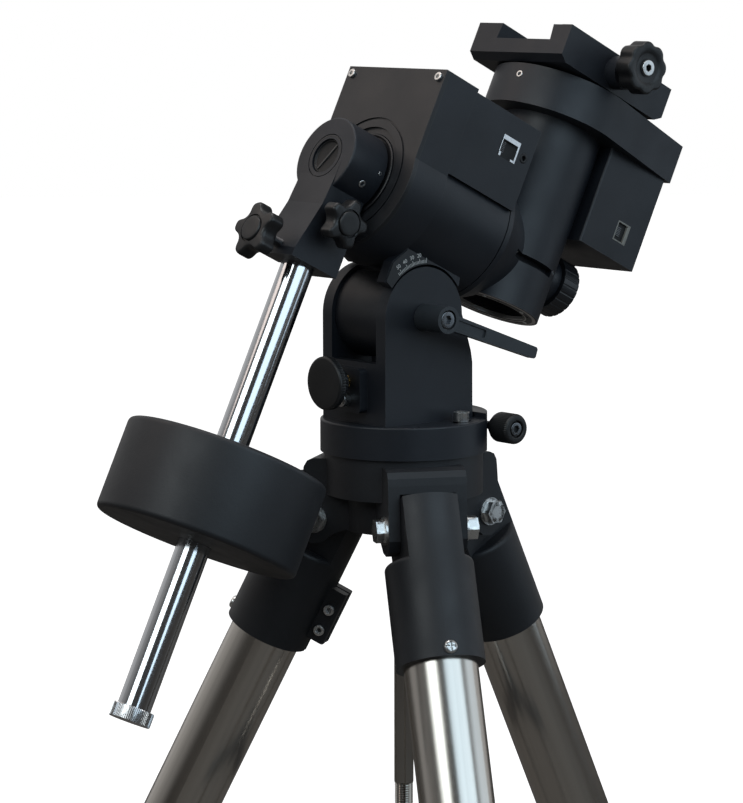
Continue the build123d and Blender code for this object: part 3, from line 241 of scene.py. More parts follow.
LEVERMAT = mat_coat("satin_lever", (0.028, 0.033, 0.039), 0.34, 1600.0, 0.06, 0.2, (0.2, 0.21, 0.22))
DARKSATIN = mat_coat("dark_moulding", (0.006, 0.006, 0.0075), 0.4, 1300.0, 0.1, 0.1, (0.05, 0.05, 0.055))
BARMAT = mat_coat("grip_bar", (0.05, 0.048, 0.047), 0.42, 1300.0, 0.1, 0.2, (0.2, 0.2, 0.2))
PORTGREY = mat_coat("port_moulding", (0.27, 0.262, 0.235), 0.45, 1500.0, 0.1, 0.1, (0.2, 0.2, 0.19))
BLACKSTEEL = mat_metal("blackened_screw", (0.2, 0.21, 0.225), 0.26, 800.0, (1, 1, 1), 0.2, 0.05)
RIM = mat_metal("machined_rim", (0.62, 0.61, 0.6), 0.42, 900.0, (1, 1, 1), 0.15, 0.05)

by_node = {
    COAT: "ra_housing ra_gearbox_cover cw_holder counterweight dec_housing dec_gear_case dec_motor_cover saddle saddle_jaw azimuth_base fork",
    COAT_SMOOTH: "ra_front_cover dec_bottom_ring polar_cap_front polar_cap_rear latitude_scale",
    LEVERMAT: "latitude_lever",
    COAT_CAST: "tripod_head leg_cap_1 leg_cap_2 leg_cap_3 leg_clamp_1 leg_clamp_2 leg_clamp_3 spreader",
    PLASTIC: "altitude_knob azimuth_knob_near azimuth_knob_far star_knob_front star_knob_side counterweight_knob saddle_knob spreader_knob leg_lock_knob_1 leg_lock_knob_2 leg_lock_knob_3",
    CHROME: "cw_shaft",
    STAIN: "centre_rod",
    ZINC: "leg_pivot_bolts base_screws cover_screws altitude_block_screw shaft_end_cap",
    STEEL_DARK: "latitude_axle ra_shaft dec_shaft ra_worm dec_worm",
    NICKEL: "ra_ports",
    BRASS: "ra_worm_wheel dec_worm_wheel",
    RUBBER: "leg_foot_1 leg_foot_2 leg_foot_3",
}
for i in range(3):
    tm = mat_tube("stainless_tube_%d" % (i + 1), leg_axes(i)[2], (0.66, 0.62, 0.57), 0.2)
    by_node[tm] = "leg_tube_upper_%d leg_tube_lower_%d" % (i + 1, i + 1)
for mat, names in by_node.items():
    for nm in names.split():
        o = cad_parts[nm]
        if not o.material_slots:
            o.data.materials.append(mat)
        for sl in o.material_slots:
            sl.material = mat

# soft machined edges on the CAD nodes
BEVEL = {
    "fork": 0.0011, "ra_housing": 0.0006, "ra_front_cover": 0.0007, "ra_gearbox_cover": 0.0009, "cw_holder": 0.0009,
    "dec_housing": 0.0005, "dec_gear_case": 0.0009, "dec_motor_cover": 0.0008, "saddle": 0.0007, "saddle_jaw": 0.0005,
    "azimuth_base": 0.0005, "tripod_head": 0.0010, "leg_cap_1": 0.0009, "leg_cap_2": 0.0009, "leg_cap_3": 0.0009,
    "latitude_lever": 0.0006, "altitude_knob": 0.0005, "polar_cap_front": 0.0003, "polar_cap_rear": 0.0005,
    "leg_pivot_bolts": 0.0004, "base_screws": 0.0003, "cover_screws": 0.0002, "altitude_block_screw": 0.0003,
    "leg_clamp_1": 0.0008, "leg_clamp_2": 0.0008, "leg_clamp_3": 0.0008, "spreader": 0.0005, "cw_shaft": 0.0003,
    "dec_bottom_ring": 0.0003, "latitude_scale": 0.0002,
}
for nm, w in BEVEL.items():
    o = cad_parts[nm]
    b = o.modifiers.new("soft_edges", "BEVEL")
    b.width = w
    b.segments = 3
    b.limit_method = "ANGLE"
    b.angle_limit = math.radians(32)
    b.use_clamp_overlap = True
    b.harden_normals = True
    b.miter_outer = "MITER_ARC"

scene = bpy.context.scene




# ------------------------------------------------------------------
# Mesh builders
# ------------------------------------------------------------------
def basis(origin, axis, xref):
    z = Vector(axis).normalized()
    x = Vector(xref)
    x = (x - z * x.dot(z)).normalized()
    y = z.cross(x)
    return Matrix((
        (x.x, y.x, z.x, origin.x),
        (x.y, y.y, z.y, origin.y),
        (x.z, y.z, z.z, origin.z),
        (0, 0, 0, 1)))


def finish_piece(name, bm, mat, body, slot=None, smooth=True, angle=35, bevel=0.0, seg=3, auto=True):
    bmesh.ops.remove_doubles(bm, verts=bm.verts, dist=1e-7)
    bmesh.ops.recalc_face_normals(bm, faces=bm.faces)
    me = bpy.data.meshes.new(name)
    bm.to_mesh(me)
    bm.free()
    if smooth:
        me.shade_smooth()
        if auto:
            me.set_sharp_from_angle(angle=math.radians(angle))
    o = bpy.data.objects.new(name, me)
    scene.collection.objects.link(o)
    me.materials.append(mat)
    if bevel:
        b = o.modifiers.new("soft_edges", "BEVEL")
        b.width = bevel
        b.segments = seg
        b.limit_method = "ANGLE"
        b.angle_limit = math.radians(30)
        b.harden_normals = True
        b.miter_outer = "MITER_ARC"
    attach(o, body)
    return o


def lathe_bm(bm, prof, m, seg=96, mod=None):
    """prof: (r, h) in mm, from one end to the other; r = 0 closes on the axis. mod(theta, i) scales the radius."""
    rings = []
    for i, (r, h) in enumerate(prof):
        if r <= 1e-9:
            rings.append([bm.verts.new(m @ Vector((0, 0, h * MM)))])
        else:
            ring = []
            for k in range(seg):
                a = 2 * math.pi * k / seg
                rr = r + (mod(a, i) if mod else 0.0)
                ring.append(bm.verts.new(m @ Vector((rr * math.cos(a) * MM, rr * math.sin(a) * MM, h * MM))))
            rings.append(ring)
    for a, b in zip(rings, rings[1:]):
        if len(a) == 1 and len(b) == 1:
            continue
        for k in range(seg):
            j = (k + 1) % seg
            if len(a) == 1:
                bm.faces.new((a[0], b[j], b[k]))
            elif len(b) == 1:
                bm.faces.new((a[k], a[j], b[0]))
            else:
                bm.faces.new((a[k], a[j], b[j], b[k]))


def lathe(name, prof, origin, axis, xref, mat, body, seg=96, mod=None, **kw):
    bm = bmesh.new()
    lathe_bm(bm, prof, basis(origin, axis, xref), seg, mod)
    return finish_piece(name, bm, mat, body, **kw)


def rounded(prof, radii, n=5):
    """Rounds the corners of an open (r, h) profile."""
    out = [prof[0]]
    for i in range(1, len(prof) - 1):
        p0, p1, p2 = (Vector(prof[i - 1]), Vector(prof[i]), Vector(prof[i + 1]))
        r = radii[i] if i < len(radii) else 0
        if r <= 0:
            out.append(tuple(p1))
            continue
        d0 = (p0 - p1)
        d2 = (p2 - p1)
        l0, l2 = d0.length, d2.length
        r = min(r, 0.49 * l0, 0.49 * l2) if True else r
        a = p1 + d0.normalized() * r
        b = p1 + d2.normalized() * r
        for k in range(n + 1):
            t = k / n
            q = a * (1 - t) ** 2 + p1 * 2 * t * (1 - t) + b * t * t
            out.append(tuple(q))
    out.append(prof[-1])
    return out


def prism_bm(bm, pts, m, h0, h1, holes=()):
    """A straight prism over a polygon (x, y in mm) from h0 to h1."""
    bot = [bm.verts.new(m @ Vector((x * MM, y * MM, h0 * MM))) for x, y in pts]
    top = [bm.verts.new(m @ Vector((x * MM, y * MM, h1 * MM))) for x, y in pts]
    n = len(pts)
    bm.faces.new(bot[::-1])
    bm.faces.new(top)
    for k in range(n):
        j = (k + 1) % n
        bm.faces.new((bot[k], bot[j], top[j], top[k]))


def stack_bm(bm, outline, levels, m, seg, cap0=True, cap1=True):
    """outline(theta) -> r in mm; levels: (h, inset, scale)."""
    rings = []
    for h, inset in levels:
        ring = []
        for k in range(seg):
            a = 2 * math.pi * k / seg
            r = max(0.05, outline(a) - inset)
            ring.append(bm.verts.new(m @ Vector((r * math.cos(a) * MM, r * math.sin(a) * MM, h * MM))))
        rings.append(ring)
    for a, b in zip(rings, rings[1:]):
        for k in range(seg):
            j = (k + 1) % seg
            bm.faces.new((a[k], a[j], b[j], b[k]))
    if cap0:
        c = bm.verts.new(m @ Vector((0, 0, levels[0][0] * MM)))
        for k in range(seg):
            bm.faces.new((rings[0][(k + 1) % seg], rings[0][k], c))
    if cap1:
        c = bm.verts.new(m @ Vector((0, 0, levels[-1][0] * MM)))
        for k in range(seg):
            bm.faces.new((rings[-1][k], rings[-1][(k + 1) % seg], c))


def scallop(R, n, rc, rho, phase=0.0, seg=720, soft=6):
    """Polar outline of a disc with n round bites, softened."""
    vals = []
    for k in range(seg):
        a = 2 * math.pi * k / seg - phase
        al = (a + math.pi / n) % (2 * math.pi / n) - math.pi / n
        r = R
        s = rc * math.sin(al)
        if abs(s) < rho:
            r = min(R, rc * math.cos(al) - math.sqrt(rho * rho - s * s))
        vals.append(r)
    for _ in range(3):
        vals = [sum(vals[(k + j) % seg] for j in range(-soft, soft + 1)) / (2 * soft + 1) for k in range(seg)]

    def f(a):
        x = (a / (2 * math.pi) % 1.0) * seg
        i = int(x) % seg
        t = x - int(x)
        return vals[i] * (1 - t) + vals[(i + 1) % seg] * t
    return f


def round_levels(h0, h1, r0, r1, n=5):
    """Side of a disc from h0 to h1 with rounded rims."""
    out = []
    for k in range(n + 1):
        a = math.pi / 2 * k / n
        out.append((h0 + r0 * (1 - math.sin(a)), r0 * (1 - math.cos(a))))
    out.reverse()
    lv = [(h0 + r0 * (1 - math.cos(a)), r0 * (1 - math.sin(a))) for a in [math.pi / 2 * k / n for k in range(n + 1)]]
    lv += [(h1 - r1 * (1 - math.cos(a)), r1 * (1 - math.sin(a))) for a in [math.pi / 2 * (n - k) / n for k in range(n + 1)]]
    return lv


def hexpts(r, phase=0.0):
    return [(r * math.cos(math.pi / 3 * k + phase), r * math.sin(math.pi / 3 * k + phase)) for k in range(6)]


def socket_screw(name, origin, axis, xref, r, h, body, mat, hexr=None, r_round=0.4):
    """Cap screw with a hexagon socket: knurled side, rounded rim."""
    hexr = hexr or r * 0.5
    bm = bmesh.new()
    m = basis(origin, axis, xref)
    seg = 96
    prof = [(r - 0.12, 0.0), (r, 0.25), (r, h - r_round)]
    for k in range(1, 6):
        a = math.pi / 2 * k / 5
        prof.append((r - r_round * (1 - math.cos(a)), h - r_round + r_round * math.sin(a)))
    lathe_bm(bm, [(0, 0.0)] + prof, m, seg, lambda a, i: (-0.12 if (int(a / (2 * math.pi) * 96) % 2) else 0.0) if 1 < i < 4 else 0.0)
    # top ring to the hexagon socket
    outer = [v for v in bm.verts][-seg:]
    hp = []
    for k in range(seg):
        a = 2 * math.pi * k / seg
        c = math.cos((a % (math.pi / 3)) - math.pi / 6)
        rr = hexr * math.cos(math.pi / 6) / c
        hp.append((rr * math.cos(a), rr * math.sin(a)))
    ch = [bm.verts.new(m @ Vector((x * 1.12 * MM, y * 1.12 * MM, h * MM))) for x, y in hp]
    a0 = [bm.verts.new(m @ Vector((x * MM, y * MM, (h - 0.25) * MM))) for x, y in hp]
    a1 = [bm.verts.new(m @ Vector((x * MM, y * MM, (h - r * 0.75) * MM))) for x, y in hp]
    cc = bm.verts.new(m @ Vector((0, 0, (h - r * 0.95) * MM)))
    for k in range(seg):
        j = (k + 1) % seg
        bm.faces.new((outer[k], outer[j], ch[j], ch[k]))
        bm.faces.new((ch[k], ch[j], a0[j], a0[k]))
        bm.faces.new((a0[k], a0[j], a1[j], a1[k]))
        bm.faces.new((a1[k], a1[j], cc))
    return finish_piece(name, bm, mat, body, slot="zinc", angle=30)


def pan_screw(name, origin, axis, xref, r, h, body, mat):
    """Pan-head screw with a cross recess."""
    bm = bmesh.new()
    m = basis(origin, axis, xref)
    seg = 64
    rings = []
    levels = [(r, 0.0), (r, h * 0.45), (r * 0.94, h * 0.7), (r * 0.8, h * 0.88), (r * 0.6, h * 0.97), (r * 0.45, h), (r * 0.3, h), (r * 0.15, h)]
    for i, (rr, hh) in enumerate(levels):
        ring = []
        for k in range(seg):
            a = 2 * math.pi * k / seg
            x, y = rr * math.cos(a), rr * math.sin(a)
            z = hh
            # cross recess
            wdt = r * 0.16
            arm = r * 0.62
            inside = (abs(x) < wdt and abs(y) < arm) or (abs(y) < wdt and abs(x) < arm)
            if i >= 3 and inside:
                z = h - r * 0.42
            ring.append(bm.verts.new(m @ Vector((x * MM, y * MM, z * MM))))
        rings.append(ring)
    for a, b in zip(rings, rings[1:]):
        for k in range(seg):
            j = (k + 1) % seg
            bm.faces.new((a[k], a[j], b[j], b[k]))
    c = bm.verts.new(m @ Vector((0, 0, (h - r * 0.5) * MM)))
    for k in range(seg):
        bm.faces.new((rings[-1][k], rings[-1][(k + 1) % seg], c))
    return finish_piece(name, bm, mat, body, slot="zinc", angle=40)


def star_piece(name, origin, axis, xref, R, h0, h1, lobes, body, bite=(1.28, 0.56), cap_r=0.46, phase=0.0, stem=None, replaces=None):
    """Moulded lobed knob: scalloped head with rounded rims, a raised disc in the middle and a hub behind."""
    bm = bmesh.new()
    m = basis(origin, axis, xref)
    f = scallop(R, lobes, R * bite[0], R * bite[1], phase, soft=7)
    seg = 240
    lv = round_levels(h0, h1, 2.2, 2.6, 6)
    stack_bm(bm, f, lv, m, seg, cap0=True, cap1=False)
    # front: shallow dish, then a groove and the raised disc
    inner = []
    ring_last = [v for v in bm.verts][-(seg + 1):-1] if False else None
    hl, il = lv[-1]
    rr = cap_r * R
    levels2 = [(hl, None), (h1 + 0.15, rr + 1.5), (h1 - 0.9, rr + 1.2), (h1 - 0.9, rr + 0.5), (h1 + 0.5, rr + 0.4), (h1 + 0.9, rr), (h1 + 1.0, rr - 0.5), (h1 + 0.95, rr * 0.5)]
    rings = []
    for i, (h, r) in enumerate(levels2):
        ring = []
        for k in range(seg):
            a = 2 * math.pi * k / seg
            q = (f(a) - il) if r is None else r
            ring.append(bm.verts.new(m @ Vector((q * math.cos(a) * MM, q * math.sin(a) * MM, h * MM))))
        rings.append(ring)
    for a, b in zip(rings, rings[1:]):
        for k in range(seg):
            j = (k + 1) % seg
            bm.faces.new((a[k], a[j], b[j], b[k]))
    c = bm.verts.new(m @ Vector((0, 0, (h1 + 0.95) * MM)))
    for k in range(seg):
        bm.faces.new((rings[-1][k], rings[-1][(k + 1) % seg], c))
    # hub
    if stem:
        r0, hs = stem
        lathe_bm(bm, [(0, hs), (r0 * 0.86, hs), (r0, hs + 0.8), (r0 * 1.02, h0 - 1.2), (r0 * 1.25, h0 + 0.4), (0, h0 + 0.4)], m, 64)
    o = finish_piece(name, bm, PLASTIC, body, slot="black_plastic", angle=42)
    if replaces:
        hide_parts(replaces)
    return o


def box_bm(bm, m, x0, x1, y0, y1, z0, z1):
    vs = [bm.verts.new(m @ (Vector((x, y, z)) * MM)) for z in (z0, z1) for y in (y0, y1) for x in (x0, x1)]
    for f in ((0, 2, 3, 1), (4, 5, 7, 6), (0, 1, 5, 4), (2, 6, 7, 3), (0, 4, 6, 2), (1, 3, 7, 5)):
        bm.faces.new([vs[k] for k in f])


def hex_piece(name, origin, axis, xref, af, h, body, washer=None, shank=None, nyloc=False, mat=None):
    """Chamfered hexagon head on a flanged washer, with an optional screw end standing out of it."""
    bm = bmesh.new()
    m = basis(origin, axis, xref)
    seg = 96
    ci = af / 2.0

    def hx(a):
        return ci / math.cos((a % (math.pi / 3)) - math.pi / 6)
    rings = []
    for hh, lim in ((0.0, ci * 1.08), (h * 0.12, 99), (h * 0.86, 99), (h * 0.95, ci * 1.06), (h, ci * 0.98), (h, ci * 0.6)):
        ring = []
        for k in range(seg):
            a = 2 * math.pi * k / seg
            r = min(hx(a), lim)
            ring.append(bm.verts.new(m @ Vector((r * math.cos(a) * MM, r * math.sin(a) * MM, hh * MM))))
        rings.append(ring)
    for a, b in zip(rings, rings[1:]):
        for k in range(seg):
            j = (k + 1) % seg
            bm.faces.new((a[k], a[j], b[j], b[k]))
    for ring, hh in ((rings[0], 0.0), (rings[-1], h - (0.6 if nyloc else 0.15))):
        c = bm.verts.new(m @ Vector((0, 0, hh * MM)))
        for k in range(seg):
            bm.faces.new((ring[k], ring[(k + 1) % seg], c))
    if washer:
        r, t = washer
        lathe_bm(bm, [(0, -t), (r - 0.3, -t), (r, -t + 0.3), (r, -0.3), (r - 0.3, 0.0), (0, 0.0)], m, 64)
    if shank:
        r, h1 = shank
        pr = [(0, h * 0.5), (r, h * 0.5)]
        z = h * 0.5
        while z < h1 - 1.4:
            pr += [(r, z + 0.35), (r - 0.45, z + 0.8), (r, z + 1.25)]
            z += 1.25
        pr += [(r - 0.5, h1), (0, h1)]
        lathe_bm(bm, pr, m, 48)
    return finish_piece(name, bm, mat or ZINC, body, slot="zinc", angle=32)


def knurl(depth, n, seg, lo, hi):
    """Straight knurl on profile rows lo to hi."""
    def f(a, i):
        if lo <= i <= hi:
            k = int(round(a / (2 * math.pi) * seg))
            return -depth if k % (seg // n) >= (seg // n) / 2 else 0.0
        return 0.0
    return f


# ------------------------------------------------------------------
# Knobs
# ------------------------------------------------------------------
def thread_profile(r, h0, h1, pitch=1.25, depth=0.55):
    pr = []
    z = h0
    while z < h1 - pitch:
        pr += [(r, z), (r, z + pitch * 0.2), (r - depth, z + pitch * 0.5), (r, z + pitch * 0.8)]
        z += pitch
    pr.append((r, h1))
    return pr


k1 = star_piece("star_head_front", at(68.5, 60.4, 0), N, Y, 17.2, 20.6, 31.2, 5, "star_knob_front", bite=(1.20, 0.50), cap_r=0.42, phase=0.55, stem=(6.6, 16.2), replaces="star_knob_front")
lathe("star_screw_front_thread", [(0, 0.0)] + thread_profile(2.98, 0.2, 16.6, 1.0, 0.4) + [(0, 16.6)], at(68.5, 60.4, 0), N, Y, STEEL_DARK, "star_knob_front", seg=40, slot="zinc")
k2 = star_piece("star_head_side", at(58.1, 38.0, -10.4), -Y, N, 15.1, 11.8, 22.2, 5, "star_knob_side", bite=(1.20, 0.50), cap_r=0.46, phase=0.2, stem=(6.4, 7.6), replaces="star_knob_side")
lathe("star_screw_side_thread", [(0, 0.0)] + thread_profile(2.98, 0.2, 7.9, 1.0, 0.4) + [(0, 7.9)], at(58.1, 38.0, -10.4), -Y, N, STEEL_DARK, "star_knob_side", seg=40, slot="zinc")

# saddle clamp knob, eight shallow lobes round a steel screw head
SK = at(-89.8, -131.5, -33.6)
bm = bmesh.new()
m = basis(SK, -Y, N)
f8 = scallop(16.3, 8, 19.0, 4.5, 0.0, soft=9)
seg = 288
lv = round_levels(22.2, 34.8, 1.6, 1.6, 5)
stack_bm(bm, f8, lv, m, seg, cap0=True, cap1=False)
rings = []
for h, r in ((lv[-1][0], None), (34.8, 10.6), (34.2, 9.6), (33.9, 8.6), (33.9, 5.6), (34.6, 5.55), (34.6, 5.05), (32.0, 5.0)):
    ring = []
    for k in range(seg):
        a = 2 * math.pi * k / seg
        q = (f8(a) - lv[-1][1]) if r is None else r
        ring.append(bm.verts.new(m @ Vector((q * math.cos(a) * MM, q * math.sin(a) * MM, h * MM))))
    rings.append(ring)
for ra, rb in zip(rings, rings[1:]):
    for k in range(seg):
        j = (k + 1) % seg
        bm.faces.new((ra[k], ra[j], rb[j], rb[k]))
c = bm.verts.new(m @ Vector((0, 0, 32.0 * MM)))
for k in range(seg):
    bm.faces.new((rings[-1][k], rings[-1][(k + 1) % seg], c))
lathe_bm(bm, rounded([(0, 18.9), (8.8, 18.9), (9.2, 22.6), (0, 22.6)], [0, 0.8, 0.2, 0]), m, 64)
o = finish_piece("saddle_knob_head", bm, PLASTIC, "saddle_knob", slot="black_plastic", angle=42)
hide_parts("saddle_knob")
socket_screw("saddle_knob_screw", SK - Y * (32.0 * MM), -Y, N, 4.9, 3.3, "saddle_knob", ZINC, 2.3)
lathe("saddle_clamp_thread", [(0, 0.0)] + thread_profile(3.45, 0.3, 19.2, 1.0, 0.4) + [(0, 19.2)], SK, -Y, N, ZINC, "saddle_knob", seg=40, slot="zinc")

# altitude adjusting knob: thin disc, knurled dark steel collar, brass screw
AK = rel(-27.6, 0, 25.5)
NX = Vector((-1, 0, 0))
pr = [(0, 24.5)] + rounded([(9.0, 26.4), (14.6, 29.4), (16.2, 30.6), (16.2, 34.3), (15.2, 35.2), (9.0, 35.35)], [0, 0.8, 0.6, 1.0, 1.0, 0]) + [(0, 35.35)]
nmid = len(pr)
bm = bmesh.new()
m = basis(AK, NX, Y)
lathe_bm(bm, pr, m, 240, lambda a, i: (-0.28 if (int(round(a / (2 * math.pi) * 240)) % 4) >= 2 else 0.0) if 11 < i < nmid - 13 else 0.0)
o = finish_piece("altitude_knob_disc", bm, PLASTIC, "altitude_knob", slot="black_plastic", angle=40)
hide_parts("altitude_knob")
bm = bmesh.new()
lathe_bm(bm, [(0, 21.8), (7.8, 21.8), (8.3, 22.2), (8.3, 25.7), (7.8, 26.2), (0, 26.2)], m, 96, lambda a, i: (-0.45 if (int(round(a / (2 * math.pi) * 96)) % 4) >= 2 else 0.0) if 1 < i < 4 else 0.0)
finish_piece("altitude_knob_collar", bm, BLACKSTEEL, "altitude_knob", slot="brass", angle=30)
lathe("altitude_screw_thread", [(0, -9.0), (3.2, -9.0)] + thread_profile(3.97, -8.2, 22.0, 1.25, 0.6) + [(0, 22.0)], AK, NX, Y, BRASS, "altitude_knob", seg=48, slot="brass")
o = socket_screw("altitude_block_cap_screw", rel(-45.2, 0, 14.6), NX, Y, 4.3, 4.5, "azimuth", ZINC, 2.2)
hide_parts("altitude_block_screw")

# azimuth adjusting knobs
for nm, sg in (("near", -1), ("far", 1)):
    org = rel(43.5, sg * 8.4, -6.0)
    ax = Vector((0, sg, 0))
    pr = [(0, 22.4), (2.7, 22.4), (8.8, 30.6)] + rounded([(8.8, 30.6), (9.3, 31.6), (9.3, 45.0), (8.2, 46.55), (5.6, 46.6), (5.2, 46.2), (5.2, 44.4), (2.4, 44.4)], [0, 0.6, 0.6, 1.0, 0.3, 0.2, 0.2, 0]) + [(0, 44.4)]
    bm = bmesh.new()
    m = basis(org, ax, Vector((1, 0, 0)))
    lathe_bm(bm, pr, m, 192, lambda a, i: (-0.22 if (int(round(a / (2 * math.pi) * 192)) % 4) >= 2 else 0.0) if 9 < i < 17 else 0.0)
    lathe_bm(bm, [(0, 0.0), (2.0, 0.0)] + thread_profile(2.45, 0.6, 22.6, 0.8, 0.3) + [(0, 22.6)], m, 40)
    o = finish_piece("azimuth_knob_head_" + nm, bm, PLASTIC, "azimuth_knob_" + nm, slot="black_plastic", angle=36)
    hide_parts("azimuth_knob_" + nm)
    socket_screw("azimuth_knob_screw_" + nm, org + ax * (44.3 * MM), ax, Vector((1, 0, 0)), 4.2, 1.9, "azimuth_knob_" + nm, BLACKSTEEL, 2.3)

# counterweight and its lock knob
pr = rounded([(10.1, 214.0), (10.1, 186.0), (61.65, 186.0), (61.65, 242.65), (10.1, 242.65), (10.1, 214.0)], [0, 0.8, 3.4, 3.4, 0.8, 0], 7)
o = lathe("counterweight_body", pr, at(58.1, 0, 0), C, N, COAT_CAST, "counterweight", seg=256, slot="black_coat", angle=50)
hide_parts("counterweight")
org = at(58.1, 214.35, 10.5)
pr = [(0, 0.2), (3.9, 0.2), (3.9, 52.2), (9.8, 52.4)] + rounded([(9.8, 52.4), (10.8, 53.4), (10.8, 63.6), (9.6, 65.1), (0.4, 65.3)], [0, 0.5, 0.5, 0.9, 0]) + [(0, 65.3)]
o = lathe("counterweight_lock_knob", pr, org, Y, N, PLASTIC, "counterweight_knob", seg=160, slot="black_plastic", mod=lambda a, i: (-0.5 if (int(round(a / (2 * math.pi) * 160)) % 8) >= 4 else 0.0) if 9 < i < 17 else 0.0)
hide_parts("counterweight_knob")

# knurled end cap of the shaft
pr = [(0, 344.1), (12.0, 344.1), (12.6, 344.6), (12.6, 352.2), (12.0, 352.8), (0, 352.8)]
o = lathe("shaft_end_nut", pr, at(58.1, 0, 0), C, N, NICKEL, "shaft_end_cap", seg=288, slot="zinc", mod=lambda a, i: (-0.45 if (int(round(a / (2 * math.pi) * 288)) % 4) >= 2 else 0.0) if 1 < i < 4 else 0.0, angle=20)
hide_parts("shaft_end_cap")

# leg lock knobs
for i in range(3):
    d, e, ax, q, p0 = leg_axes(i)
    org = p0 + ax * (594.0 * MM) + q * (18.0 * MM)
    o = star_piece("leg_lock_head_%d" % (i + 1), org, q, e, 14.9, 38.5, 47.5, 5, "leg_lock_knob_%d" % (i + 1), bite=(1.18, 0.42), cap_r=0.4, phase=0.3, stem=(6.2, 33.6), replaces="leg_lock_knob_%d" % (i + 1))
    lathe("leg_lock_thread_%d" % (i + 1), [(0, 27.2)] + thread_profile(2.98, 27.4, 34.0, 1.0, 0.4) + [(0, 34.0)], org, q, e, ZINC, "leg_lock_knob_%d" % (i + 1), seg=40, slot="zinc")

# ------------------------------------------------------------------
# Fasteners
# ------------------------------------------------------------------
for k, yy in enumerate((-40.4, 40.4)):
    o = socket_screw("cover_screw_%d" % (k + 1), at(39.0, -65.1, yy), N, Y, 2.8, 1.6, "ra_unit", ZINC, 1.35, 0.5)
    if k == 0:
        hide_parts("cover_screws")
for k, a in enumerate((-73.5, 73.5)):
    x, y = 41.6 * math.cos(math.radians(a)), 41.6 * math.sin(math.radians(a))
    o = socket_screw("base_cap_screw_%d" % (k + 1), rel(x, y, 0.2), Vector((0, 0, 1)), Vector((1, 0, 0)), 4.85, 5.9, "tripod", ZINC, 2.5, 0.3)
    if k == 0:
        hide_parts("base_screws")
PIV = rel(-9.0, 0, 64.0)
socket_screw("lever_screw", PIV - Y * (49.9 * MM), -Y, Vector((1, 0, 0)), 5.3, 1.9, "azimuth", BLACKSTEEL, 2.7, 0.6)
lathe("lever_hub_rim", rounded([(6.3, 51.9), (6.3, 52.28), (8.1, 52.28), (8.18, 49.6), (8.18, 49.2)], [0, 0.1, 0.5, 0, 0]), PIV, -Y, Vector((1, 0, 0)), LEVERMAT, "latitude_lever", seg=96, slot="black_coat")

pr_ang = 24.53
sd = Vector((0, -math.cos(math.radians(pr_ang)), 0)) + C * math.sin(math.radians(pr_ang))
sd.normalize()
socket_screw("holder_set_screw", at(51.55, 0, 0) + sd * (24.3 * MM), sd, N, 2.3, 0.75, "dec_unit", ZINC, 1.3, 0.25)
for k, aa in enumerate((0.0, 120.0, 240.0)):
    a = math.radians(aa)
    dirn = (-Y * math.cos(a) + C * math.sin(a)).normalized()
    socket_screw("ring_set_screw_%d" % (k + 1), at(43.2, 0, 0) + dirn * (24.35 * MM), dirn, N, 1.2, 0.5, "dec_unit", ZINC, 0.7, 0.2)

# dark seal between the cover and the rotating ring
lathe("front_seal", rounded([(20.1, 34.6), (27.25, 34.6), (27.25, 38.3), (26.2, 38.7), (25.2, 37.9), (20.1, 37.9)], [0, 0.2, 0.4, 0.4, 0.2, 0]), O, N, Y, DARKSATIN, "dec_unit", seg=160, slot="black_plastic")

# declination head screws
ds = at(-92.0, 0, 0)
for k, (t, aa) in enumerate(((-106.0, 8.0), (-106.0, 172.0), (-106.0, 262.0))):
    a = math.radians(aa)
    dirn = (N * math.cos(a) - Y * math.sin(a)).normalized()
    if k == 1:
        continue
    socket_screw("head_screw_%d" % (k + 1), at(-92.0, t, 0) + dirn * (45.7 * MM), dirn, C, 2.2, 0.6, "dec_unit", ZINC, 1.3, 0.25)
a = math.radians(57.4)
dirn = (N * math.cos(a) - Y * math.sin(a)).normalized()
socket_screw("clutch_screw", at(-92.0, -2.0, 0) + dirn * (31.2 * MM), dirn, C, 2.3, 1.0, "dec_unit", ZINC, 1.3, 0.3)
for k, (t, aa) in enumerate(((-12.5, 40.3), (0.1, 121.8))):
    a = math.radians(aa)
    dirn = (N * math.cos(a) - Y * math.sin(a)).normalized()
    socket_screw("tube_screw_%d" % (k + 1), at(-92.0, t, 0) + dirn * (31.9 * MM), dirn, C, 1.7, 0.5, "dec_unit", STEEL_DARK, 1.0, 0.2)

# bright machined rims of the lower ring, with its screws
RT = 31.4
lathe("dec_ring_rim_outer", rounded([(28.2, RT + 0.15), (29.2, RT + 0.15), (31.6, RT - 0.05), (32.2, RT - 0.8)], [0, 0.2, 0.3, 0]), ds, C, N, RIM, "dec_unit", seg=160, slot="black_coat")
lathe("dec_ring_rim_inner", rounded([(23.3, RT - 2.6), (23.35, RT - 0.2), (24.3, RT + 0.28), (25.0, RT + 0.28)], [0, 0.2, 0.2, 0]), ds, C, N, RIM, "dec_unit", seg=160, slot="black_coat")
for k in range(6):
    a = math.radians(60 * k + 20)
    dirn = N * math.cos(a) + Y * math.sin(a)
    pan_screw("ring_screw_%d" % (k + 1), at(-92.0, RT + 0.18, 0) + dirn * (26.6 * MM), C, N, 1.35, 0.5, "dec_unit", ZINC)
